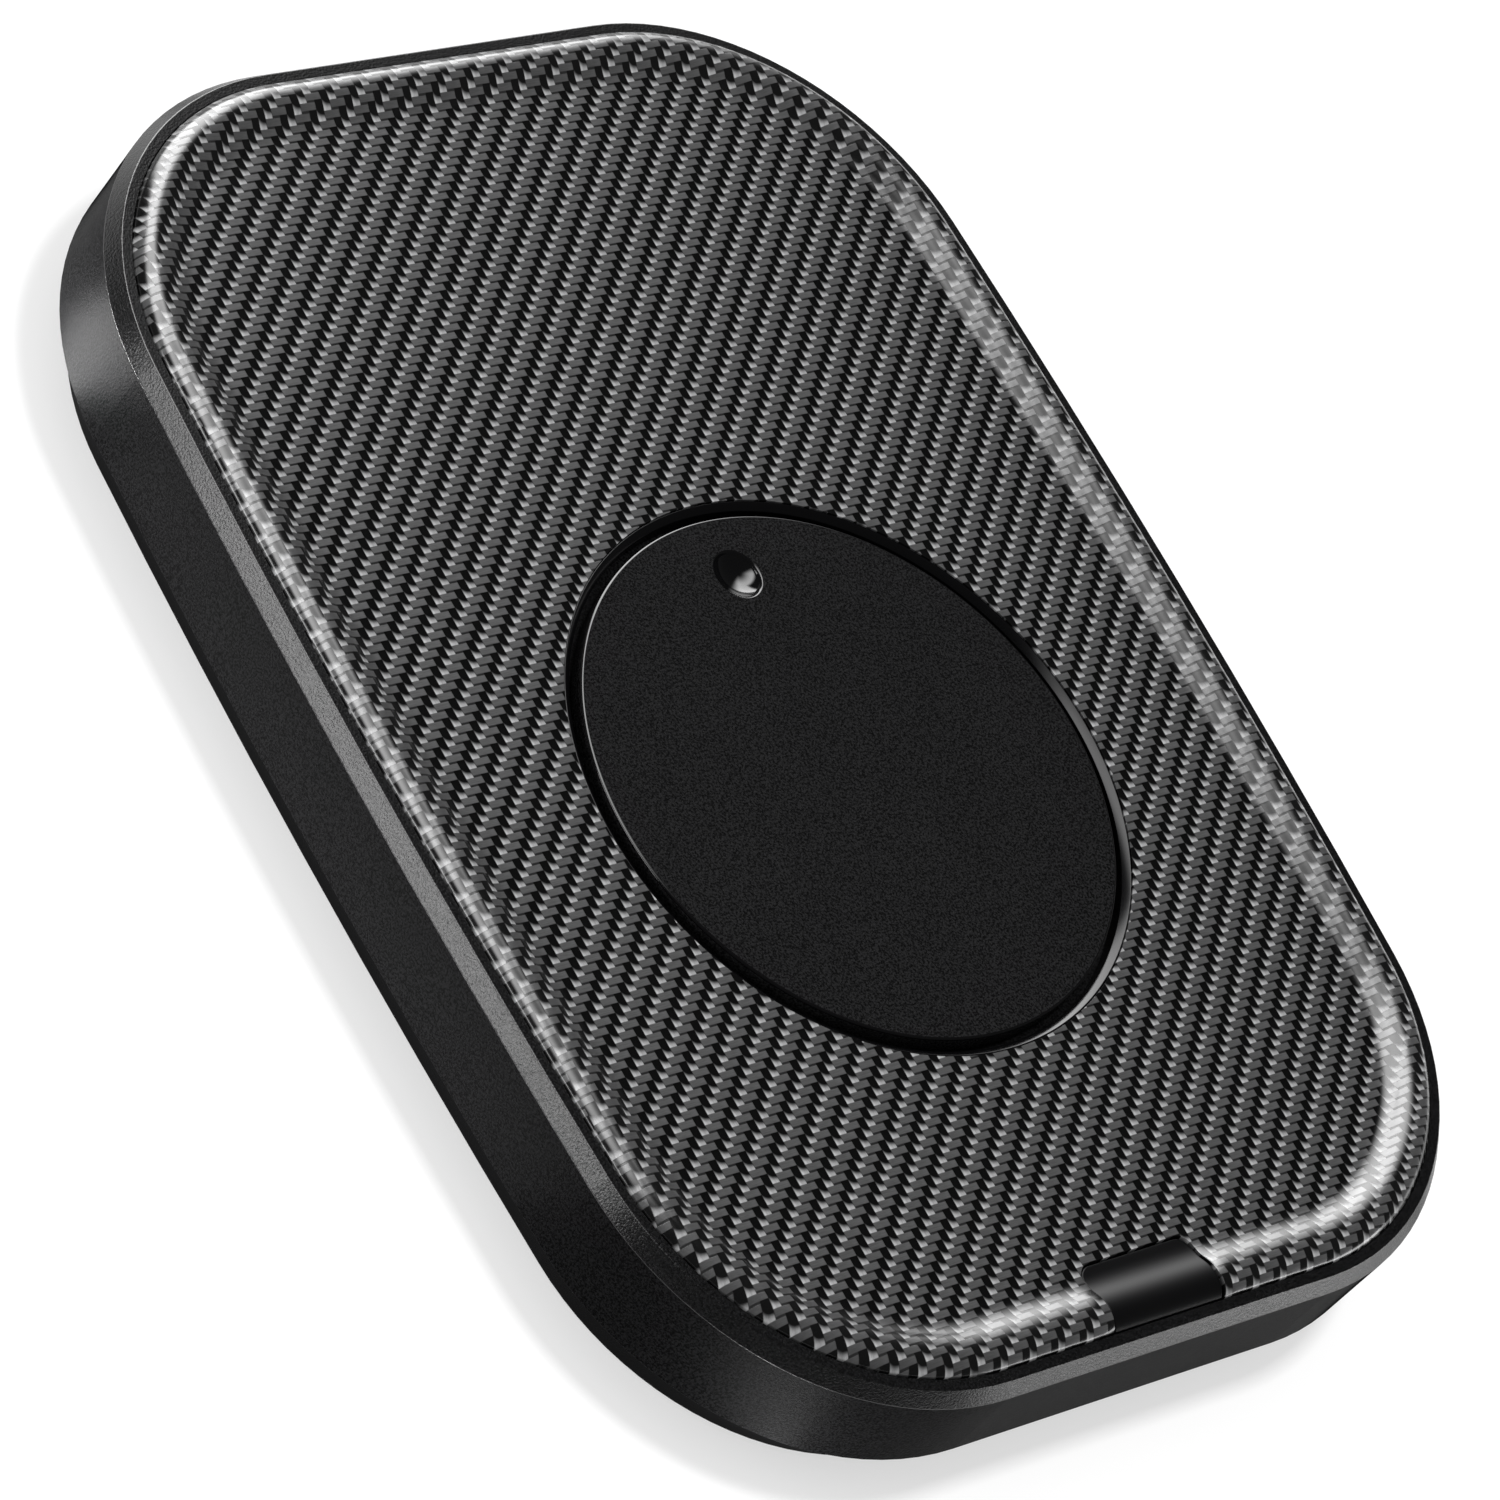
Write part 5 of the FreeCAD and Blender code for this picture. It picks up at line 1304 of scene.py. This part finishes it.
@dataclass
class Turntable(Assembly):
    """The disc with its finger dimple, the ring round it, and what it turns on."""

    rim: float = RIM
    centre: PlanPoint = DISC_CENTRE
    radius: float = 24.4 * MM
    thickness: float = 1.6 * MM
    edge_round: float = 0.22 * MM
    seat_radius: float = 8.0 * MM
    seat_depth: float = 0.8 * MM
    dimple_reach: float = 19.1 * MM
    dimple_radius: float = 2.28 * MM
    dimple_depth: float = 1.15 * MM
    dimple_lip: float = 0.12 * MM
    dimple_bowl: float = 0.86
    dimple_flare: float = 2.2
    bowl_steps: int = 20
    flare_steps: int = 8
    dimple_facets: int = 96
    edge_steps: int = 8
    dimple_border: float = 1.12
    dimple_margin: float = 0.1 * MM
    dimple_skin: float = 0.001 * MM
    ring_bore: float = 25.15 * MM
    ring_outer: float = 25.85 * MM
    ring_seat: float = 27.2 * MM
    ring_drop: float = 0.55 * MM
    ring_edge: float = 0.08 * MM
    ring_bore_edge: float = 0.14 * MM
    ring_under: float = 12.4 * MM
    panel_under: float = 13.55 * MM

    def dimple_section(self) -> list[SectionPoint]:
        """The tool that cuts the dimple: a bowl with a flared, rounded mouth.

        Returns:
            Its section, as (radius, height).
        """
        slope = 2 * math.atan(self.dimple_depth / self.dimple_radius)
        bowl = self.dimple_radius / math.sin(slope)
        turn = math.degrees(slope)
        lip = self.dimple_lip
        top = self.rim + MM
        bottom = self.rim - self.dimple_depth
        bowl_arc = arc_points((0.0, bottom + bowl), bowl, 270, 270 + self.dimple_bowl * turn,
                              self.bowl_steps)
        end = bowl_arc[-1]
        flare = []
        for step in range(1, self.flare_steps + 1):
            part = step / self.flare_steps
            flare.append((end[0] + lip * part * self.dimple_flare,
                          end[1] + (self.rim - end[1]) * math.sin(part * math.pi / 2)))
        return [*bowl_arc, *flare, (flare[-1][0], top), (0.0, top)]

    def disc(self) -> bpy.types.Object:
        """The disc itself.

        Returns:
            The disc, with its dimple.
        """
        under = self.rim - self.thickness
        corners = [(0.0, self.rim), (0.0, under + self.seat_depth),
                   (self.seat_radius, under + self.seat_depth), (self.seat_radius, under),
                   (self.radius, under), (self.radius, self.rim, self.edge_round)]
        piece = lathe("turntable_disc_top", rounded(corners, self.edge_steps), self.centre,
                      FINE_STEPS)
        place = (self.centre[0], self.centre[1] + self.dimple_reach)
        tool = lathe("dimple", self.dimple_section(), place, self.dimple_facets)
        return carved(piece, Carving.CUT, [tool])

    def polish(self, disc: bpy.types.Object) -> None:
        """Put the dimple and the rounding of the disc's edge in its second slot.

        Args:
            disc: The disc.
        """
        middle = Vector((self.centre[0], self.centre[1] + self.dimple_reach))
        border = self.dimple_radius * self.dimple_border
        low = self.rim - self.dimple_depth - self.dimple_margin
        high = self.rim - self.dimple_skin
        edge_in, edge_low = self.radius - self.edge_round, self.rim - self.edge_round
        for face in disc.data.polygons:
            place = Vector(face.center[:2])
            in_dimple = (place - middle).length < border and low < face.center.z < high
            out = (place - Vector(self.centre)).length
            if in_dimple or (out > edge_in and face.center.z > edge_low):
                face.material_index = 1

    def ring(self) -> bpy.types.Object:
        """The bevelled ring round the disc.

        Returns:
            The ring.
        """
        corners = [(self.ring_bore, self.rim - self.ring_drop, self.ring_bore_edge),
                   (self.ring_bore, self.ring_under), (self.ring_seat, self.ring_under),
                   (self.ring_seat, self.panel_under), (self.ring_outer, self.panel_under),
                   (self.ring_outer, self.rim, self.ring_edge)]
        return lathe("disc_ring", rounded(corners), self.centre, FINE_STEPS)

    def build(self) -> None:
        """Make the disc and its ring and join them to the frame."""
        disc = smooth(self.disc())
        dress(disc, self.finishes.get(FinishName.DISC), self.finishes.get(FinishName.DISC_EDGE))
        self.polish(disc)
        self.join(disc, "turntable", "disc_plastic", "turntable_disc")
        ring = smooth(self.ring())
        dress(ring, self.finishes.get(FinishName.BEZEL))
        self.join(ring, "tray", "bezel_plastic", "disc_bezel")
        self.coat(FinishName.STEEL, "turntable_spindle", "gear_washer", "gear_screw",
                  "idler_pin", "idler_clip")
        self.coat(FinishName.BRONZE, "spindle_bush")
        self.coat(FinishName.SLIPPERY, "thrust_washer", "idler_washer")
        self.coat(FinishName.GEAR, "turntable_gear", "idler_gear")


@dataclass
class PowerKey(Assembly):
    """The key that bridges the bead at the front, with its switch and board."""

    rim: float = RIM
    drop: float = 0.15 * MM
    half_width: float = 6.0 * MM
    depth: float = 5.9 * MM
    outer_gap: float = 0.04 * MM
    corner: float = 1.3 * MM
    edge_round: float = 0.16 * MM
    flange_top: float = 11.55 * MM
    flange_under: float = 10.75 * MM
    flange_reach: float = 1.4 * MM
    stem_under: float = 9.75 * MM
    stem_radius: float = 1.5 * MM
    stem_inset: float = 4.6 * MM
    flange_corner: float = 0.3 * MM
    flange_steps: int = 4
    stem_facets: int = 48
    corner_steps: int = 10
    tool_reach: float = 3.0 * MM
    overlap: float = 0.01 * MM
    bead: Bead = field(default_factory=Bead)

    def cap(self) -> bpy.types.Object:
        """The cap: the bead's profile drawn out sideways and cut to the key's plan.

        Returns:
            The cap.
        """
        level = self.rim - self.drop
        section = self.bead.top(level)
        section = [*section, (0.0, self.flange_top), (-self.depth, self.flange_top),
                   (-self.depth, level)]
        edge = -OUTLINE.half_length
        left, right = ([(side * (self.half_width + MM), edge - offset, z)
                        for offset, z in section] for side in (-1, 1))
        cap = solid_between("power_key_cap", left, right)
        inner = self.depth - OUTLINE.half_length
        outer = -OUTLINE.half_length + self.outer_gap
        half = self.half_width
        plan = rounded([(-half, outer), (half, outer), (half, inner, self.corner),
                        (-half, inner, self.corner)], self.corner_steps)
        tool = prism("key_plan", plan, self.flange_top - MM, self.rim + self.tool_reach)
        return softened(carved(cap, Carving.COMMON, [tool]), self.edge_round)

    def foot(self) -> list[bpy.types.Object]:
        """The flange that keeps the key in, and the stem that presses the switch.

        Returns:
            The two solids.
        """
        half = self.half_width + self.flange_reach
        outer = -OUTLINE.half_length + self.outer_gap
        inner = self.depth + self.flange_reach - OUTLINE.half_length
        corner = self.flange_corner
        plan = rounded([(-half, outer, corner), (half, outer, corner),
                        (half, inner, corner), (-half, inner, corner)], self.flange_steps)
        flange = prism("flange", plan, self.flange_under, self.flange_top + self.overlap)
        middle = (0.0, self.stem_inset - OUTLINE.half_length)
        stem = prism("stem", circle(self.stem_radius, middle, self.stem_facets), self.stem_under,
                     self.flange_under + self.overlap)
        return [flange, stem]

    def build(self) -> None:
        """Make the key and join it to the frame."""
        cap = carved(self.cap(), Carving.MERGE, self.foot())
        smooth(cap)
        dress(cap, self.finishes.get(FinishName.KEY))
        self.join(cap, "key", "key_plastic", "power_key")
        self.coat(FinishName.RED, "key_plunger")
        self.coat(FinishName.RESIN, "key_switch")
        self.coat(FinishName.BOARD, "key_board")


@dataclass
class ScrewSet(Assembly):
    """Equal self-tapping screws put in from below: pan heads with a cross recess."""

    head_radius: float = 1.7 * MM
    head_height: float = 0.9 * MM
    shank_radius: float = 0.8 * MM
    tip_length: float = 0.9 * MM
    slot_width: float = 0.35 * MM
    slot_depth: float = 0.45 * MM
    slot_reach: float = 1.05 * MM
    facets: int = 40
    rings: int = 15
    shank_facets: int = 32
    dome_part: float = 0.7
    dome_power: float = 0.7
    shank_start: float = 0.8
    tip_share: float = 0.3
    seam: float = 0.001 * MM

    def places(self, node: str) -> tuple[list[Vector], float]:
        """Where the screws of a node stand, from its box.

        Args:
            node: The node.

        Returns:
            The lowest point of each head's middle, and the screws' whole length.
        """
        low, high = (Vector(corner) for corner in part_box(node))
        inset = self.head_radius
        across = {round(x, 6): x for x in (low.x + inset, high.x - inset)}.values()
        along = {round(y, 6): y for y in (low.y + inset, high.y - inset)}.values()
        return [Vector((x, y, low.z)) for x in across for y in along], high.z - low.z

    def head(self, recipe: Recipe, radius: Feed, height: Feed) -> Socket:
        """One pan head, turned from a grid: its top points down and its seat is flat.

        Args:
            recipe: The tree that it goes into.
            radius: Its radius.
            height: Its height.

        Returns:
            The head's geometry.
        """
        grid = recipe.add("GeometryNodeMeshGrid", None, Size_X=1.0, Size_Y=1.0,
                          Vertices_X=self.facets + 1, Vertices_Y=self.rings)
        place = recipe.add("GeometryNodeInputPosition").outputs[0]
        parts = recipe.add("ShaderNodeSeparateXYZ", None, Vector=place)
        angle = recipe.math("MULTIPLY_ADD", parts.outputs["X"], 2 * math.pi, math.pi)
        down = recipe.math("MULTIPLY_ADD", parts.outputs["Y"], 1.0, 0.5)
        dome = recipe.math("MULTIPLY", down, 0.5 * math.pi / self.dome_part)
        dome = recipe.math("MINIMUM", dome, 0.5 * math.pi)
        back = recipe.math("DIVIDE", recipe.math("SUBTRACT", down, self.dome_part),
                           1.0 - self.dome_part, clamp=True)
        spread = recipe.math("POWER", recipe.math("SINE", dome), self.dome_power)
        spread = recipe.math("MULTIPLY", spread, recipe.math("SUBTRACT", 1.0, back))
        spread = recipe.math("MULTIPLY", spread, radius)
        rise = recipe.math("POWER", recipe.math("MAXIMUM", recipe.math("COSINE", dome), 0.0), 0.5)
        fall = recipe.math("MULTIPLY", recipe.math("SUBTRACT", 1.0, rise), height)
        where = recipe.vector(recipe.math("MULTIPLY", spread, recipe.math("COSINE", angle)),
                              recipe.math("MULTIPLY", spread, recipe.math("SINE", angle)), fall)
        turned = recipe.add("GeometryNodeSetPosition", None, Geometry=grid.outputs["Mesh"],
                            Position=where)
        closed = recipe.add("GeometryNodeMergeByDistance", None, Geometry=turned.outputs[0],
                            Distance=self.seam)
        return recipe.add("GeometryNodeFlipFaces", None, Mesh=closed.outputs[0]).outputs[0]

    def screw(self, recipe: Recipe, length: float) -> Socket:
        """One whole screw: head, shank and tip, with its cross recess.

        Args:
            recipe: The tree that it goes into.
            length: Its whole length.

        Returns:
            The screw's geometry.
        """
        radius = recipe.size("Head Radius", self.head_radius)
        height = recipe.size("Head Height", self.head_height)
        shank = recipe.size("Shank Radius", self.shank_radius)
        shank_length = recipe.size("Shank Length", length - self.head_height - self.tip_length)
        tip = recipe.size("Tip Length", self.tip_length)
        slot = recipe.size("Slot Width", self.slot_width)
        reach = recipe.size("Slot Reach", self.slot_reach)
        depth = recipe.size("Slot Depth", self.slot_depth)
        head = self.head(recipe, radius, height)
        start = recipe.math("MULTIPLY", height, self.shank_start)
        whole = recipe.math("ADD", shank_length, recipe.math("SUBTRACT", height, start))
        rod = recipe.add("GeometryNodeMeshCylinder", None, Vertices=self.shank_facets,
                         Radius=shank, Depth=whole)
        rod = self.moved(recipe, rod.outputs["Mesh"],
                         recipe.math("MULTIPLY_ADD", whole, 0.5, start))
        point = recipe.add("GeometryNodeMeshCone", None, Vertices=self.shank_facets,
                           Radius_Top=recipe.math("MULTIPLY", shank, self.tip_share),
                           Radius_Bottom=shank, Depth=tip)
        point = self.moved(recipe, point.outputs["Mesh"],
                           recipe.math("ADD", height, shank_length))
        body = self.combined(recipe, Carving.MERGE, head, rod)
        body = self.combined(recipe, Carving.MERGE, body, point)
        long = recipe.math("MULTIPLY", reach, 2.0)
        deep = recipe.math("MULTIPLY", depth, 2.0)
        for size in (recipe.vector(long, slot, deep), recipe.vector(slot, long, deep)):
            bar = recipe.add("GeometryNodeMeshCube", None, Size=size)
            body = self.combined(recipe, Carving.CUT, body, bar.outputs["Mesh"])
        return body

    def build_node(self, node: str) -> None:
        """Make the screws of one node and join them to the frame.

        Args:
            node: The node.
        """
        places, length = self.places(node)
        recipe = Recipe("pan_head_screws")
        body = self.screw(recipe, length)
        set_out = recipe.add("GeometryNodeInstanceOnPoints", None,
                             Points=recipe.entry.outputs["Geometry"], Instance=body)
        mesh = bpy.data.meshes.new(node)
        mesh.from_pydata([tuple(place) for place in places], [], [])
        piece = add_object(f"{node}_turned", mesh)
        recipe.run(piece, set_out.outputs[0], self.finishes.get(FinishName.PLATED))
        bm = bmesh.new()
        bm.from_mesh(piece.data)
        bmesh.ops.remove_doubles(bm, verts=bm.verts, dist=WELD)
        bmesh.ops.recalc_face_normals(bm, faces=bm.faces)
        bm.to_mesh(piece.data)
        bm.free()
        self.join(smooth(piece), "tray", "screw_steel", node)

    @staticmethod
    def moved(recipe: Recipe, geometry: Socket, up: Feed) -> Socket:
        """Move geometry up.

        Args:
            recipe: The tree that it goes into.
            geometry: What is moved.
            up: How far.

        Returns:
            The moved geometry.
        """
        return recipe.add("GeometryNodeTransform", None, Geometry=geometry,
                          Translation=recipe.vector(0.0, 0.0, up)).outputs[0]

    @staticmethod
    def combined(recipe: Recipe, way: Carving, first: Socket, second: Socket) -> Socket:
        """Combine two solids.

        Args:
            recipe: The tree that it goes into.
            way: MERGE or CUT.
            first: The solid that is kept or cut.
            second: The other solid.

        Returns:
            The result's geometry.
        """
        node = recipe.add("GeometryNodeMeshBoolean",
                          {"operation": way.value, "solver": "EXACT"})
        kept = "Mesh 1" if way is Carving.CUT else "Mesh 2"
        recipe.tree.links.new(first, node.inputs[kept])
        recipe.tree.links.new(second, node.inputs["Mesh 2"])
        return node.outputs["Mesh"]

    def build(self) -> None:
        """Make every set of screws."""
        for node in ("cover_screws", "motor_screws", "board_screws", "key_board_screws"):
            self.build_node(node)


@dataclass
class Housing(Assembly):
    """The housing, the base below it, and the feet."""

    bevel_foot: float = 12.9 * MM
    land_tilt: float = 0.95
    overhang_tilt: float = -0.2

    def shell(self) -> bpy.types.Object:
        """The housing: a glossy grained land and bevel above a duller side.

        Returns:
            The housing.
        """
        shell = welded_copy("upper_housing", "upper_housing_shell")
        dress(shell, *(self.finishes.get(name) for name in
                       (FinishName.SIDE, FinishName.RIM, FinishName.LAND)))
        for face in shell.data.polygons:
            if face.center.z > self.bevel_foot and face.normal.z > self.overhang_tilt:
                face.material_index = 2 if face.normal.z > self.land_tilt else 1
        return shell

    def build(self) -> None:
        """Make the housing and dress the pieces below it."""
        self.join(self.shell(), "tray", "housing_plastic", "upper_housing")
        self.coat(FinishName.BASE, "bottom_cover")
        self.coat(FinishName.RUBBER, "rubber_foot_front_left", "rubber_foot_front_right",
                  "rubber_foot_back_left", "rubber_foot_back_right")
        self.coat(FinishName.PLATED, "ballast_left", "ballast_right")


@dataclass
class Drive(Assembly):
    """The motor, the boards and the leads inside."""

    def build(self) -> None:
        """Dress the inner pieces."""
        self.coat(FinishName.PLATED, "motor_can", "motor_flange", "timing_crystal",
                  "usb_shell")
        self.coat(FinishName.STEEL, "motor_shaft")
        self.coat(FinishName.BRASS, "motor_pinion")
        self.coat(FinishName.IVORY, "motor_terminal_block", "motor_header", "key_header",
                  "key_board_header")
        self.coat(FinishName.BOARD, "main_board")
        self.coat(FinishName.RESIN, "controller_chip", "motor_driver_chip", "usb_tongue")
        self.coat(FinishName.CERAMIC, "chip_capacitors")
        self.coat(FinishName.WIRE, "motor_lead", "key_lead")


# ---------------------------------------------------------------------------- studio
@dataclass(frozen=True)
class SoftLamp:
    """An area lamp."""

    name: str
    place: Place
    target: Place
    width: float
    height: float
    power: float
    mirrored: bool = True

    @classmethod
    def card(cls, name: str, middle: PlanPoint, width: float, depth: float,
             power: float) -> "SoftLamp":
        """A small bright card that lies on the floor, facing up.

        Args:
            name: Its name.
            middle: Where it lies.
            width: Its size across the tray.
            depth: Its size along the tray.
            power: Its power in watts.

        Returns:
            The lamp.
        """
        return cls(name, (*middle, CARD_HEIGHT), (*middle, 1.0), width, depth, power)

    def build(self) -> None:
        """Put the lamp in the scene, out of the camera's sight."""
        data = bpy.data.lights.new(self.name, "AREA")
        data.shape = "RECTANGLE"
        data.size, data.size_y = self.width, self.height
        data.energy = self.power
        lamp = bpy.data.objects.new(self.name, data)
        bpy.context.scene.collection.objects.link(lamp)
        lamp.location = self.place
        lamp.rotation_mode = "QUATERNION"
        towards = Vector(self.target) - Vector(self.place)
        lamp.rotation_quaternion = towards.to_track_quat("-Z", "Y")
        lamp.visible_camera = False
        lamp.visible_glossy = self.mirrored


@dataclass(frozen=True)
class SoftboxSky:
    """A dim room with one softbox behind the tray, which reaches further left higher up."""

    azimuth: float = 62.0
    left_full: float = 16.0
    left_end: float = 26.0
    right_full: float = -4.0
    right_end: float = -31.5
    upper_left_full: float = 85.0
    upper_left_end: float = 119.0
    upper_start: float = 36.0
    upper_full: float = 48.0
    low_start: float = 0.0
    low_full: float = 10.0
    high_full: float = 50.0
    high_end: float = 84.0
    horizon_fade: float = -3.0
    level: float = 0.7
    room: float = 0.53
    mirrored_level: float = 11.5
    mirrored_room: float = 0.08

    def build(self) -> None:
        """Make the world. Below the horizon it is white to the camera and to glossy rays."""
        world = bpy.data.worlds.new("studio_room")
        world.use_nodes = True
        graph = Graph(world.node_tree)
        way = graph.add("ShaderNodeTexCoord").outputs["Generated"]
        turn = math.radians(self.azimuth)
        ahead = (math.cos(turn), math.sin(turn), 0.0)
        aside = (-math.sin(turn), math.cos(turn), 0.0)
        near = graph.add("ShaderNodeVectorMath", {"operation": "DOT_PRODUCT"}, i0=way, i1=ahead)
        side = graph.add("ShaderNodeVectorMath", {"operation": "DOT_PRODUCT"}, i0=way, i1=aside)
        bearing = graph.math("ARCTAN2", side.outputs["Value"], near.outputs["Value"])
        height = graph.add("ShaderNodeSeparateXYZ", None, Vector=way).outputs["Z"]
        height = graph.math("ARCSINE", height)
        upper = graph.math("MULTIPLY",
                           self.fade(graph, bearing, self.upper_left_end, self.upper_left_full),
                           self.fade(graph, height, self.upper_start, self.upper_full))
        lower = self.fade(graph, bearing, self.left_end, self.left_full)
        lit = graph.math("MULTIPLY", graph.math("MAXIMUM", lower, upper),
                         self.fade(graph, bearing, self.right_end, self.right_full))
        lit = graph.math("MULTIPLY", lit,
                         self.fade(graph, height, self.low_start, self.low_full))
        lit = graph.math("MULTIPLY", lit,
                         self.fade(graph, height, self.high_end, self.high_full))
        direct, glossy = graph.rays()
        studio = graph.math("MULTIPLY_ADD", lit,
                            graph.mix(glossy, self.level, self.mirrored_level),
                            graph.mix(glossy, self.room, self.mirrored_room))
        below = self.fade(graph, height, 0.0, self.horizon_fade)
        seen = graph.math("MAXIMUM", direct, graph.math("MULTIPLY", glossy, below))
        background = graph.add("ShaderNodeBackground", None, Color=(1.0, 1.0, 1.0, 1.0),
                               Strength=graph.mix(seen, studio, 1.0))
        output = graph.add("ShaderNodeOutputWorld")
        graph.tree.links.new(background.outputs[0], output.inputs["Surface"])
        bpy.context.scene.world = world

    @staticmethod
    def fade(graph: Graph, value: Feed, start: float, end: float) -> Socket:
        """A smooth rise from 0 to 1 between two angles.

        Args:
            graph: The graph that it goes into.
            value: The angle in radians.
            start: The angle in degrees where it is 0.
            end: The angle in degrees where it is 1.

        Returns:
            The rise's socket.
        """
        low, high = sorted((math.radians(start), math.radians(end)))
        ends = (0.0, 1.0) if start < end else (1.0, 0.0)
        node = graph.add("ShaderNodeMapRange", {"interpolation_type": "SMOOTHSTEP"}, i0=value,
                         i1=low, i2=high, i3=ends[0], i4=ends[1])
        return node.outputs[0]


@dataclass
class Studio:
    """Floor, surroundings, lamps and camera."""

    eye: Vector = field(default_factory=lambda: Vector((-0.40175, -0.18574, 0.41832)))
    right: Vector = field(default_factory=lambda: Vector((0.72656, -0.47616, 0.49536)))
    forward: Vector = field(default_factory=lambda: Vector((0.66455, 0.30377, -0.68272)))
    lens: float = 181.894
    sensor: float = 36.0
    clip: tuple[float, float] = (0.01, 20.0)
    floor_reach: float = 6.0
    floor_level: float = 0.97
    floor_white: float = 0.58
    floor_drop: float = 0.02 * MM
    sky: SoftboxSky = field(default_factory=SoftboxSky)
    lamps: tuple[SoftLamp, ...] = (
        SoftLamp("overhead_fill", (0.055, 0.010, 0.9), (0.0, 0.0, 0.0), 0.11, 0.11, 5.3, False),
        SoftLamp("front_strip", (0.120, -0.165, 0.010), (0.0, -0.06, 0.012), 0.12, 0.020, 0.040),
        SoftLamp("left_strip", (-0.181, 0.045, 0.056), (-0.0445, 0.0, 0.0137), 0.13, 0.035, 0.146),
        SoftLamp.card("back_left_card", (-0.0495, 0.0505), 0.013, 0.012, 0.021),
        SoftLamp.card("left_card", (-0.0525, 0.003), 0.012, 0.070, 0.0135),
        SoftLamp.card("front_left_card", (-0.040, -0.064), 0.018, 0.011, 0.0085),
    )

    def floor(self) -> None:
        """A pale floor that keeps the shadow."""
        bm = bmesh.new()
        reach = self.floor_reach
        bm.faces.new([bm.verts.new((x * reach, y * reach, -self.floor_drop))
                      for x, y in ((-1, -1), (1, -1), (1, 1), (-1, 1))])
        floor = mesh_from(bm, "studio_floor")
        material, graph = new_material("studio_floor_paint")
        paint = graph.add("ShaderNodeBsdfDiffuse", None,
                          Color=(self.floor_level, self.floor_level, self.floor_level, 1.0))
        seen = graph.math("MAXIMUM", *graph.rays())
        white = graph.add("ShaderNodeEmission", None, Color=(1.0, 1.0, 1.0, 1.0), Strength=1.0)
        both = graph.add("ShaderNodeMixShader", None,
                         Fac=graph.math("MULTIPLY", seen, self.floor_white))
        graph.tree.links.new(paint.outputs[0], both.inputs[1])
        graph.tree.links.new(white.outputs[0], both.inputs[2])
        output = graph.add("ShaderNodeOutputMaterial")
        graph.tree.links.new(both.outputs[0], output.inputs["Surface"])
        dress(floor, material)

    def camera(self) -> None:
        """The camera, rolled as well as turned."""
        data = bpy.data.cameras.new("studio_camera")
        data.lens = self.lens
        data.sensor_width = self.sensor
        data.clip_start, data.clip_end = self.clip
        camera = bpy.data.objects.new("studio_camera", data)
        bpy.context.scene.collection.objects.link(camera)
        back = -self.forward.normalized()
        right = (self.right - back * self.right.dot(back)).normalized()
        up = back.cross(right)
        turn = Matrix((right, up, back)).transposed().to_4x4()
        camera.matrix_world = Matrix.Translation(self.eye) @ turn
        bpy.context.scene.camera = camera

    def build(self) -> None:
        """Set up the studio."""
        bpy.context.scene.view_settings.view_transform = "Standard"
        self.floor()
        self.sky.build()
        for lamp in self.lamps:
            lamp.build()
        self.camera()
        LOG.info("set up the studio with %d lamps", len(self.lamps))


def main() -> None:
    """Build every sub-assembly in order, then the studio."""
    logging.basicConfig(level=logging.INFO, format="%(name)s: %(message)s")
    finishes = Finishes()
    assemblies: list[type] = [Housing, TrayPanel, Turntable, PowerKey, Drive, ScrewSet]
    for kind in assemblies:
        kind(finishes).build()
    Studio().build()


if __name__ == "__main__":
    main()
